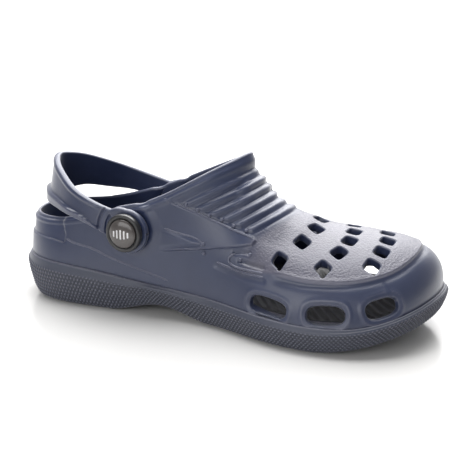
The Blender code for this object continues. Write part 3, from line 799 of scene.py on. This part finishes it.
def make_outsole(material):
    """Sole: pebbled band, plain ledge with a fine edge, tub for the footbed, and tread."""
    q, round_length = even_columns(SOLE_COLUMNS)
    rows, valleys = band_rows(q, round_length)
    rows += ledge_rows(q, LEDGE)
    faces = [tuple(f) for f in ring_quads(0, len(rows), SOLE_COLUMNS)]
    cap, edge = cap_points(rows[0], SOLE_ACROSS)
    x, y = cap[..., 0], cap[..., 1]
    zigzag = np.abs(np.mod(y / ZIGZAG[0], 2) - 1) * ZIGZAG[1]
    groove = bell((np.mod(x + zigzag, TREAD_PITCH) / TREAD_PITCH - 0.5) * TREAD_PITCH, TREAD_GROOVE)
    waist = step_up(-82, -74, x) * (1 - step_up(-2, 8, x))
    cap[..., 2] = sole_bottom(x) + TREAD_DEPTH * groove * step_up(3, 6, edge) * (1 - waist)
    start = len(rows) * SOLE_COLUMNS
    points = np.concatenate(rows + [cap[:, 1:-1].reshape(-1, 3)])
    faces += cap_faces(0, SOLE_COLUMNS, start, SOLE_ACROSS - 2, down=True)
    faces += flat_faces(start - SOLE_COLUMNS, SOLE_COLUMNS)
    valley = np.zeros(len(points))
    valley[:BAND_ROWS * SOLE_COLUMNS] = np.concatenate(valleys)
    return make_piece("sole_moulding", points, faces, material, "clog", ["outsole"],
                      {"valley": valley})


# --- footbed
BED_EDGE = RECESS_INSET + 0.4
BED_COLUMNS = 520
BED_ACROSS = 110
BED_SIDE = [(BED_EDGE, 0.3 - RECESS_DEPTH), (BED_EDGE, FOOTBED_RISE - 0.9),
            (BED_EDGE + 0.3, FOOTBED_RISE - 0.3), (BED_EDGE + 1.0, FOOTBED_RISE)]
RIDGE = (5.2, 0.55)             # pitch and half height of the slanting ridges
NUB = (7, 0.9)                  # pitch and height of the nubs
DISH = 1.2                      # how much lower the middle of the footbed lies


def make_footbed(material):
    """Insole with slanting ridges under the forefoot and small nubs under the heel."""
    q, _ = even_columns(BED_COLUMNS)
    rows = ledge_rows(q, BED_SIDE)
    faces = [tuple(f) for f in ring_quads(0, len(rows), BED_COLUMNS)]
    cap, edge = cap_points(rows[-1], BED_ACROSS)
    x, y = cap[..., 0], cap[..., 1]
    ridges = RIDGE[1] * step_up(10, 30, x) * np.cos(2 * pi * (x * 0.83 + y * 0.55) / RIDGE[0])
    nubs = NUB[1] * (1 - step_up(-70, -55, x))
    nubs = nubs * np.sin(pi * (x + y) / NUB[0]) ** 2 * np.sin(pi * (x - y) / NUB[0]) ** 2
    dish = DISH * step_up(0, 22, edge)
    cap[..., 2] = ledge_height(x) + FOOTBED_RISE + step_up(2, 5, edge) * (ridges + nubs) - dish
    start = len(rows) * BED_COLUMNS
    points = np.concatenate(rows + [cap[:, 1:-1].reshape(-1, 3)])
    faces += cap_faces(start - BED_COLUMNS, BED_COLUMNS, start, BED_ACROSS - 2)
    faces += flat_faces(0, BED_COLUMNS, down=True)
    return make_piece("footbed_moulding", points, faces, material, "clog", ["footbed"])


# --- heel strap
STRAP_STATIONS = 560
STRAP_SECTION = 72
STRAP_LOBE = 2.7                # how far the lower band stands out
STRAP_ROLL = 1.25               # height of the rounding of both edges
MEDIAL_TRIM = (0, 0, 0, 0.1, 0.5, 1.5, 1.1, 0)      # slims the medial arm at each STRAP station
STRAP_ARCS = ((14.9, 1.5), (20.6, 1.7))     # radius about the pivot and depth of the moulded arcs
ARC_WIDTH = 0.85
CAP_RADIUS = 12.4
CAP_HEIGHT = 4.6
CAP_FLOOR = 3.1
BADGE_RADIUS = 9.4


def strap_line(count):
    """Stations along the strap, lateral end to medial end: x, y, z, half height, lean."""
    medial = [(x, -y, z + trim, h - trim, lean)
              for (x, y, z, h, lean), trim in zip(STRAP, MEDIAL_TRIM)]
    path, knots = chord_spline([(x, -y, z, h, lean) for x, y, z, h, lean in STRAP + medial[-2::-1]])
    band = path(np.linspace(0, knots[-1], count))
    reach = PIVOT[0] - band[:, 0]
    disc = np.sqrt(np.clip(STRAP_END_RADIUS ** 2 - reach ** 2, 0, None))
    blend = 0.5 * (band[:, 3] + disc + np.sqrt((band[:, 3] - disc) ** 2 + 1.0))
    band[:, 3] = np.where(reach < STRAP_END_RADIUS + 4, blend, band[:, 3])
    angles = np.arcsin(np.linspace(0.999, 0.0, 26)[:-1])
    level = np.ones(len(angles))
    end = np.column_stack([PIVOT[0] + STRAP_END_RADIUS * np.sin(angles), -STRAP_Y * level,
                           PIVOT[1] * level, STRAP_END_RADIUS * np.cos(angles) + 0.25, 0 * level])
    return np.concatenate([end, band, (end * (1, -1, 1, 1, 1))[::-1]])


def strap_section():
    """Section of the strap: outward share and height share, then 1 on the edges, and their bow."""
    side = np.linspace(-1, 1, STRAP_SECTION // 2 - 9)
    turn = np.linspace(0, pi, 11)[1:-1]
    outer = [(1.0, s, 0.0, 0.0) for s in side]
    over = [(cos(t), 1.0, 1.0, sin(t)) for t in turn]
    inner = [(-1.0, s, 0.0, 0.0) for s in side[::-1]]
    under = [(-cos(t), -1.0, 1.0, -sin(t)) for t in turn]
    return outer + over + inner + under


def make_strap(material):
    """Heel strap: flat band with a raised lower lobe and moulded arcs, and an eye at each end."""
    line = strap_line(STRAP_STATIONS)
    along = unit(np.gradient(line[:, :2], axis=0))
    outward = np.column_stack([-along[:, 1], along[:, 0]])
    half_t = STRAP_THICKNESS / 2
    reach = np.abs(line[:, 0] - PIVOT[0])
    lobe_share = np.interp(reach, [0, 16, 24, 38, 60, 74, 81], [0, 0, 0.75, 1, 1, 1, 1.05])
    lobe_line = np.interp(reach, [0, 14, 22, 34, 50, 70, 81],
                          [-1.0, -0.98, -0.84, -0.56, -0.45, -0.45, -0.46])
    section_points = strap_section()
    rows = []
    for station, normal, share, level, far in zip(line, outward, lobe_share, lobe_line, reach):
        x, y, z, half, lean = station
        ring = []
        for out, high, corner, bow in section_points:
            height = high * (half - STRAP_ROLL) + (bow * STRAP_ROLL if corner else 0)
            offset = out * half_t
            if out > 0:
                s = high if not corner else (1.0 if high > 0 else -1.0)
                raised = STRAP_LOBE * share * (1 - float(step_up(level - 0.07, level + 0.02, s)))
                raised *= 0.65 + 0.35 * float(step_up(-1.1, level, s))
                bead = 0.6 * float(bell((1 - s) * half - 1.1, 1.0)) * float(step_up(14, 30, far))
                d = np.hypot(x - PIVOT[0], height + z - PIVOT[1])
                arcs = sum(depth * float(bell(d - radius, ARC_WIDTH)) for radius, depth in STRAP_ARCS)
                turned = np.degrees(np.arctan2(height + z - PIVOT[1], PIVOT[0] - x))
                arcs *= float(step_up(-22, -14, turned)) * (1 - float(step_up(38, 46, turned)))
                offset += (raised + bead - arcs) * out
            offset -= lean * height / half
            ring.append((x + normal[0] * offset, y + normal[1] * offset, z + height))
        rows.append(ring)
    count = len(section_points)
    points = np.array(rows).reshape(-1, 3)
    eye = np.hypot(points[:, 0] - PIVOT[0], points[:, 2] - PIVOT[1]) - EYE_RADIUS
    points, faces, loops = cut_sheet(points, eye, ring_quads(0, len(rows), count))
    for side in (-1, 1):
        outer, inner = [loop for loop in loops if points[loop[0], 1] * side > 0]
        faces += zip_loops(points, outer, inner)
    faces.append(tuple(range(count))[::-1])
    faces.append(tuple(range((len(rows) - 1) * count, len(rows) * count)))
    strap = make_piece("strap_moulding", points, faces, material, "strap", ["heel_strap"])
    data = bmesh.new()
    data.from_mesh(strap.data)
    bmesh.ops.recalc_face_normals(data, faces=data.faces)
    data.to_mesh(strap.data)
    data.free()
    return strap


# --- rivets
RIVET_SEGMENTS = 96
BASE_TOP = -WALL - 2 * GAP      # face of the snap disc towards the upper, measured out from the seat
BASE_SOCKET = 2.1
BADGE_SHOULDER = 0.9
BADGE_RISE = 2.7
MOTIF_BARS = (4.0, 5.6, 6.4, 5.6, 4.0)      # length of each bar
MOTIF_PITCH = 2.5
BAR_RADIUS = 0.62
BAR_SUNK = 0.15                 # how far the edge of a bar lies below the dome
BAR_RISE = 0.4
BAR_ROWS = 9
BAR_SEGMENTS = 28


def lathe(name, side, sections, material, nodes):
    """Turned piece on the strap axis; sections are (radius, distance out from the seat)."""
    angles = 2 * pi * np.arange(RIVET_SEGMENTS) / RIVET_SEGMENTS
    points = []
    faces = []
    rings = []
    for r, out in sections:
        start = len(points)
        y = side * (SEAT_Y + out)
        if r < 1e-6:
            points.append((PIVOT[0], y, PIVOT[1]))
            rings.append([start] * RIVET_SEGMENTS)
        else:
            points += [(PIVOT[0] + r * cos(a), y, PIVOT[1] + r * sin(a)) for a in angles]
            rings.append(list(range(start, start + RIVET_SEGMENTS)))
    for one, two in zip(rings, rings[1:] + rings[:1]):
        for quad in join(one, two):
            corners = tuple(dict.fromkeys(quad))
            if len(corners) > 2:
                faces.append(corners if side < 0 else corners[::-1])
    return make_piece(name, points, faces, material, "clog", nodes, sharp=40)


def arc(cx, cy, radius, a0, a1, steps):
    """Points (radius, out) along a round of a turned profile, angles in degrees."""
    return [(cx + radius * cos(a), cy + radius * sin(a)) for a in np.radians(np.linspace(a0, a1, steps))]


def washer_profile():
    radius, thickness = WASHER
    top = GAP + thickness
    return [(EYE_RADIUS, GAP), (radius, GAP), *arc(radius - 0.2, 1.1, 0.6, -60, 60, 5),
            (radius, top), (EYE_RADIUS, top)]


def cap_profile(under):
    """Post through the strap and the upper, cap with a rolled rim, and its dish."""
    post_end = BASE_TOP - BASE_SOCKET + GAP
    dish = BADGE_RADIUS + GAP
    return [(0, post_end), (POST_RADIUS - 0.8, post_end), (POST_RADIUS, post_end + 0.7),
            (POST_RADIUS, under), (CAP_RADIUS - 0.5, under),
            *arc(CAP_RADIUS - 0.8, under + 0.8, 0.8, -60, 0, 4),
            *arc(CAP_RADIUS - 1.25, under + CAP_HEIGHT - 1.25, 1.25, 0, 110, 9),
            (dish + 0.4, under + CAP_HEIGHT - 0.3), (dish, under + CAP_HEIGHT - 0.8),
            (dish, under + CAP_FLOOR), (0, under + CAP_FLOOR)]


def dome_profile(seat):
    angles = np.radians(np.linspace(90, 0, 22))[:-1]
    shoulder = seat + BADGE_SHOULDER
    return [(0, seat), (BADGE_RADIUS, seat),
            *[(BADGE_RADIUS * sin(a), shoulder + BADGE_RISE * cos(a)) for a in angles],
            (0, shoulder + BADGE_RISE)]


def snap_profile():
    socket = BASE_TOP - BASE_SOCKET
    inner = POST_RADIUS + GAP
    return [(0, socket), (inner, socket), (inner, BASE_TOP), (8.6, BASE_TOP),
            *arc(8.6, BASE_TOP - 0.4, 0.4, 70, 0, 4), (9.0, BASE_TOP - 2.2),
            *arc(8.2, BASE_TOP - 2.2, 0.8, 0, -80, 5),
            (3.0, BASE_TOP - 3.0), (2.2, BASE_TOP - 2.6), (0, BASE_TOP - 2.6)]


def make_rivets(black, badge, motif):
    """Both snap rivets: washer, button with its rolled rim, domed badge, inner snap disc."""
    under = STRAP_INNER_Y + STRAP_THICKNESS + GAP - SEAT_Y
    seat = under + CAP_FLOOR + GAP
    for side, prefix in ((-1, "lateral"), (1, "medial")):
        lathe(prefix + "_washer", side, washer_profile(), black, [prefix + "_spacer"])
        lathe(prefix + "_cap", side, cap_profile(under), black, [prefix + "_button"])
        lathe(prefix + "_dome", side, dome_profile(seat), badge, [prefix + "_badge"])
        make_motif(prefix + "_motif", side, seat, motif)
        lathe(prefix + "_snap", side, snap_profile(), black, [prefix + "_rivet_base"])


def make_motif(name, side, seat, material):
    """A plain row of upright rounded bars standing on the badge dome."""
    points = []
    faces = []
    for k, length in enumerate(MOTIF_BARS):
        middle = (k - (len(MOTIF_BARS) - 1) / 2) * MOTIF_PITCH
        straight = length / 2 - BAR_RADIUS
        for r in range(BAR_ROWS):
            t = pi / 2 * r / (BAR_ROWS - 1)
            start = len(points)
            for a in 2 * pi * np.arange(BAR_SEGMENTS) / BAR_SEGMENTS:
                u = middle + BAR_RADIUS * cos(a) * sin(t)
                w = BAR_RADIUS * sin(a) * sin(t) + (straight if sin(a) >= 0 else -straight)
                dome = BADGE_SHOULDER + BADGE_RISE * np.sqrt(1 - (np.hypot(u, w) / BADGE_RADIUS) ** 2)
                out = seat + dome - BAR_SUNK + BAR_RISE * cos(t)
                points.append((PIVOT[0] + u, side * (SEAT_Y + out), PIVOT[1] + w))
            if r:
                ring = list(range(start, start + BAR_SEGMENTS))
                faces += join(ring, [i - BAR_SEGMENTS for i in ring])
    faces = faces if side > 0 else [f[::-1] for f in faces]
    return make_piece(name, points, faces, material, "clog")


# --- materials
class Nodes:
    """Short hand for building a node material."""

    def __init__(self, name):
        self.material = bpy.data.materials.new(name)
        self.material.use_nodes = True
        self.tree = self.material.node_tree
        self.shader = self.tree.nodes["Principled BSDF"]
        self.where = self.add("ShaderNodeTexCoord").outputs["Object"]

    def add(self, kind, inputs=None, **settings):
        """Node with its settings, and its inputs by name or number."""
        node = self.tree.nodes.new(kind)
        for key, value in settings.items():
            setattr(node, key, value)
        self.feed(node, inputs or {})
        return node

    def feed(self, node, inputs):
        """Links what comes from a socket, and sets what is a constant."""
        for key, value in inputs.items():
            if isinstance(value, bpy.types.NodeSocket):
                self.tree.links.new(value, node.inputs[key])
            else:
                node.inputs[key].default_value = value

    def noise(self, scale, detail=3.0, rough=0.55, stretch=None):
        where = self.where
        if stretch:
            where = self.add("ShaderNodeMapping", {"Vector": where, "Scale": stretch[0],
                                                   "Rotation": stretch[1]}).outputs["Vector"]
        return self.add("ShaderNodeTexNoise", {"Vector": where, "Scale": scale, "Detail": detail,
                                               "Roughness": rough}).outputs["Fac"]

    def cells(self, scale):
        return self.add("ShaderNodeTexVoronoi", {"Vector": self.where, "Scale": scale}).outputs["Distance"]

    def math(self, operation, a, b=0.0):
        return self.add("ShaderNodeMath", {0: a, 1: b}, operation=operation).outputs[0]

    def scaled(self, value, factor):
        return self.math("MULTIPLY", value, factor)

    def remap(self, value, a, b, c, d, **settings):
        """Value on the scale from a to b, as a value on the scale from c to d."""
        inputs = dict(enumerate((value, a, b, c, d)))
        return self.add("ShaderNodeMapRange", inputs, **settings).outputs["Result"]

    def ramp(self, mark, low, high):
        """Smooth 0 to 1 as the marked distance goes from low to high."""
        return self.remap(self.mask(mark), low, high, 0.0, 1.0, interpolation_type="SMOOTHSTEP")

    def mix(self, factor, a, b):
        return self.add("ShaderNodeMix", {"Factor": factor, 6: a, 7: b}, data_type="RGBA").outputs[2]

    def mask(self, name):
        return self.add("ShaderNodeAttribute", attribute_name=name).outputs["Fac"]

    def edges(self, low, high):
        """1 on convex edges, 0 elsewhere."""
        return self.remap(self.add("ShaderNodeNewGeometry").outputs["Pointiness"], low, high, 0.0, 1.0)

    def bump(self, height, distance, strength=1.0, under=None):
        inputs = {"Height": height, "Distance": distance, "Strength": strength}
        if under:
            inputs["Normal"] = under
        return self.add("ShaderNodeBump", inputs).outputs["Normal"]


def crisp_edges(n, normal):
    """Bump at the edges of the plate, wedge, dart and heel panel, sharper than the mesh."""
    edges = n.scaled(n.ramp("plate_edge", -0.45, 0.45), 0.55)
    rim = n.scaled(n.ramp("plate_edge", 0.5, 1.6), -0.25)
    wedge = n.scaled(n.ramp("wedge_edge", -0.35, 0.35), 0.4)
    dart = n.scaled(n.ramp("dart_edge", -0.3, 0.5), 0.35)
    panel = n.scaled(n.ramp("panel_edge", -0.4, 0.4), -0.5)
    on_plate = n.scaled(n.math("ADD", edges, rim), n.mask("plate_fade"))
    on_side = n.scaled(n.math("ADD", wedge, dart), n.mask("side_fade"))
    return n.bump(n.math("ADD", n.math("ADD", on_plate, on_side), panel), MM, 1.0, normal)


def foam(name, dark, light, rough, moulded=False, pebbled=False, gloss=1.0):
    """Moulded foam rubber: clouded navy, fine pores, painted highlights on convex edges, dust patches that
    also paint a sheen, optional leather grain with a painted sheen and a painted highlight line on the
    plate, optional painted shade in pebble valleys.
    """
    n = Nodes(name)
    clouds = n.noise(38, 4.0)
    fine = n.noise(420, 2.0)
    colour = n.mix(n.remap(clouds, 0.35, 0.65, 0.0, 1.0), (*dark, 1), (*light, 1))
    # painted highlight: paler colour on convex edges
    edge = n.scaled(n.edges(0.515, 0.56), n.remap(fine, 0.3, 0.7, 0.5, 1.0))
    colour = n.mix(n.scaled(edge, 0.6), colour, PAINTED_EDGE_HIGHLIGHT)
    # pale patches at random: dust, and also a painted sheen that greys the navy
    colour = n.mix(n.scaled(n.remap(n.noise(9, 2.0), 0.5, 0.75, 0.0, 1.0), 0.12), colour, DUST_AND_SHEEN)
    # painted shade: darkens the valleys between the sole's pebbles
    if pebbled:
        colour = n.mix(n.scaled(n.remap(n.mask("valley"), 0.35, 1.0, 0.0, 1.0), 0.55), colour, PAINTED_VALLEY_SHADE)
    if moulded:
        # painted sheen: the grained plate is lightened towards a pale lilac
        colour = n.mix(n.scaled(n.mask("grain"), 0.45), colour, PAINTED_PLATE_SHEEN)
        # painted highlight: a pale line along the edge of the grained plate
        line = n.math("SUBTRACT", n.ramp("plate_edge", -0.75, -0.1), n.ramp("plate_edge", 0.1, 0.7))
        colour = n.mix(n.scaled(n.scaled(line, n.mask("plate_fade")), 0.55), colour, PAINTED_EDGE_HIGHLIGHT)
    roughness = n.remap(n.math("ADD", n.scaled(clouds, 0.6), n.scaled(fine, 0.4)),
                        0.3, 0.7, rough - 0.05, rough + 0.07)
    pores = n.bump(n.noise(1500, 2.0), 0.00008, 0.5)
    normal = n.bump(n.noise(260, 3.0), 0.00012, 0.35, pores)
    if moulded:
        leather = n.math("ADD", n.noise(620, 3.0, 0.6, ((1, 2.2, 1), (0.0, 0.0, 0.6))),
                         n.scaled(n.cells(700), 0.6))
        normal = n.bump(leather, 0.00035, n.scaled(n.mask("grain"), 0.9), crisp_edges(n, normal))
        roughness = n.math("ADD", roughness, n.scaled(n.mask("grain"), 0.06))
    n.feed(n.shader, {"Base Color": colour, "Roughness": roughness, "Normal": normal,
                      "Specular IOR Level": 0.7 * gloss, "Coat Weight": 0.2 * gloss,
                      "Coat Roughness": 0.33, "Sheen Weight": 0.2 * gloss, "Sheen Roughness": 0.45})
    return n.material


def plastic(name, dark, light, rough, coat=0.0):
    """Moulded hard plastic with faint clouds, fine scratches and a grey painted highlight on its convex
    edges.
    """
    n = Nodes(name)
    clouds = n.noise(60, 3.0)
    scratch = n.noise(300, 2.0, 0.5, ((1, 1, 14), (0.3, 0.8, 0.2)))
    colour = n.mix(n.remap(clouds, 0.35, 0.65, 0.0, 1.0), (*dark, 1), (*light, 1))
    # painted highlight: grey mixed into convex edges, which darkens them on the pale plastic
    colour = n.mix(n.scaled(n.edges(0.53, 0.6), 0.15), colour, (0.2, 0.2, 0.21, 1))
    n.feed(n.shader, {"Base Color": colour,
                      "Roughness": n.remap(scratch, 0.3, 0.7, rough - 0.04, rough + 0.08),
                      "Normal": n.bump(scratch, 0.00002, 0.5, n.bump(clouds, 0.00006, 0.3)),
                      "Coat Weight": coat, "Coat Roughness": 0.12})
    return n.material


# --- studio
CAMERA_AZIMUTH = 24.0
CAMERA_ELEVATION = 17.1
CAMERA_DISTANCE = 0.680
CAMERA_TARGET = (0.001, 0.00075, 0.040)
CAMERA_LENS = 78.8
CAMERA_SHIFT = (0.0198, 0.0283)
SWEEP_NEAR = -3.0               # where the floor starts, towards the camera and past it
SWEEP_START = 0.7               # where it starts to curve up
SWEEP_RADIUS = 0.5
SWEEP_HEIGHT = 3.0
SWEEP_SIDE = 4.0
WALL_GLOW = 1.0
GLOW_RISE = 0.25                # height at which the wall glows in full
GLOW_SIDES = (0.5, 1.2, 0.12)   # distance aside where the glow starts to fall, where it ends, share left
ROOM_GLOW = 0.3
# Name, place, size and power of each soft light.
LIGHTS = [("overhead", (-0.15, 0.3, 0.85), (1.1, 1.0), 18.0), ("back", (-0.1, 1.0, 0.6), (1.2, 0.5), 6.0),
          ("front", (-0.2, -1.2, 0.5), (1.4, 0.6), 6.2)]
LIGHT_AIM = (0.0, 0.0, 0.04)


def facing(away):
    """Rotation of a camera or light that looks against the direction away."""
    return Vector(away).to_track_quat("Z", "Y").to_euler()


def add_camera():
    """Camera on the lateral side, a little towards the toe and from above."""
    a, e = radians(CAMERA_AZIMUTH), radians(CAMERA_ELEVATION)
    away = Vector((sin(a) * cos(e), -cos(a) * cos(e), sin(e)))
    data = bpy.data.cameras.new("camera")
    data.lens = CAMERA_LENS
    data.sensor_width = 36.0
    data.shift_x, data.shift_y = CAMERA_SHIFT
    camera = bpy.data.objects.new("camera", data)
    camera.location = Vector(CAMERA_TARGET) + away * CAMERA_DISTANCE
    camera.rotation_euler = facing(away)
    bpy.context.scene.collection.objects.link(camera)
    bpy.context.scene.camera = camera


def add_lights():
    """Rectangular soft lights pointing at the clog."""
    for name, place, size, power in LIGHTS:
        data = bpy.data.lights.new(name, "AREA")
        data.shape = "RECTANGLE"
        data.size, data.size_y = size
        data.energy = power
        light = bpy.data.objects.new(name, data)
        light.location = place
        light.rotation_euler = facing(Vector(place) - Vector(LIGHT_AIM))
        bpy.context.scene.collection.objects.link(light)


def sweep_material():
    """Pale, slightly glossy; the wall glows more the higher it is, and less towards its sides."""
    n = Nodes("pale_sweep")
    place = n.add("ShaderNodeSeparateXYZ", {"Vector": n.where}).outputs
    a = radians(CAMERA_AZIMUTH)
    aside = n.math("ABSOLUTE", n.math("ADD", n.scaled(place["X"], cos(a)), n.scaled(place["Y"], sin(a))))
    start, end, left = GLOW_SIDES
    glow = n.scaled(n.remap(place["Z"], 0.0, GLOW_RISE, 0.0, WALL_GLOW),
                    n.remap(aside, start, end, 1.0, left))
    n.feed(n.shader, {"Base Color": n.mix(n.noise(3, 2.0), (0.70, 0.695, 0.685, 1),
                                          (0.73, 0.725, 0.715, 1)),
                      "Roughness": n.remap(n.noise(6, 2.0), 0.3, 0.7, 0.16, 0.24),
                      "Emission Color": (1.0, 0.985, 0.99, 1), "Emission Strength": glow})
    return n.material


def add_studio():
    """Floor and back wall in one curved sweep, square to the camera, and a faint even room light."""
    line = [(SWEEP_NEAR, 0.0), (SWEEP_START, 0.0)]
    line += [(SWEEP_START + SWEEP_RADIUS * sin(t), SWEEP_RADIUS * (1 - cos(t)))
             for t in np.radians(range(6, 91, 6))]
    line.append((SWEEP_START + SWEEP_RADIUS, SWEEP_HEIGHT))
    a = radians(CAMERA_AZIMUTH)
    points = [(-sin(a) * d + cos(a) * side, cos(a) * d + sin(a) * side, z)
              for d, z in line for side in (-SWEEP_SIDE, SWEEP_SIDE)]
    data = bpy.data.meshes.new("sweep")
    data.from_pydata(points, [], [(i, i + 1, i + 3, i + 2) for i in range(0, len(points) - 2, 2)])
    data.shade_smooth()
    data.materials.append(sweep_material())
    sweep = bpy.data.objects.new("sweep", data)
    bpy.context.scene.collection.objects.link(sweep)
    world = bpy.data.worlds.new("studio")
    world.use_nodes = True
    world.node_tree.nodes["Background"].inputs["Color"].default_value = (1.0, 1.0, 1.0, 1)
    world.node_tree.nodes["Background"].inputs["Strength"].default_value = ROOM_GLOW
    bpy.context.scene.world = world
    bpy.context.scene.view_settings.view_transform = "Standard"


# --- colours
NAVY = ((0.013, 0.022, 0.066), (0.019, 0.03, 0.08))
SOLE_NAVY = ((0.023, 0.03, 0.06), (0.03, 0.037, 0.068))
# footbed colours: navy darkened almost to black as painted shade of the clog's inside
BED_NAVY_PAINTED_SHADE = ((0.008, 0.009, 0.014), (0.012, 0.013, 0.019))
BLACK = ((0.016, 0.016, 0.017), (0.024, 0.024, 0.026))
BADGE_GREY = ((0.055, 0.048, 0.046), (0.075, 0.065, 0.062))
MOTIF_PALE = ((0.75, 0.75, 0.76), (0.82, 0.82, 0.83))
# painted sheen that lightens the grained plate
PAINTED_PLATE_SHEEN = (0.13, 0.115, 0.14, 1)      # of the grained plate
# painted highlight on edges and along the plate's rim
PAINTED_EDGE_HIGHLIGHT = (0.2, 0.2, 0.26, 1)
# dust and painted sheen
DUST_AND_SHEEN = (0.13, 0.13, 0.15, 1)
# painted shade for the valleys between the pebbles
PAINTED_VALLEY_SHADE = (0.006, 0.007, 0.014, 1)

add_camera()
add_studio()
add_lights()

make_upper(foam("navy_foam", *NAVY, 0.36, moulded=True))
line_foam = foam("navy_line_foam", *NAVY, 0.34)
walls = {side: wall_samples(side) for side in (-1, 1)}
make_lines(line_foam, walls)
make_studs(line_foam, walls)
# pebbled adds painted shade to the valleys between the pebbles
make_outsole(foam("navy_sole_foam", *SOLE_NAVY, 0.5, pebbled=True))
# footbed foam darkened as painted shade of the inside
make_footbed(foam("footbed_foam_painted_shade", *BED_NAVY_PAINTED_SHADE, 0.6, gloss=0.35))
make_strap(foam("navy_strap_foam", *NAVY, 0.35))
make_rivets(plastic("black_plastic", *BLACK, 0.34, coat=0.2),
            plastic("badge_plastic", *BADGE_GREY, 0.2, coat=0.6),
            plastic("pale_plastic", *MOTIF_PALE, 0.35))
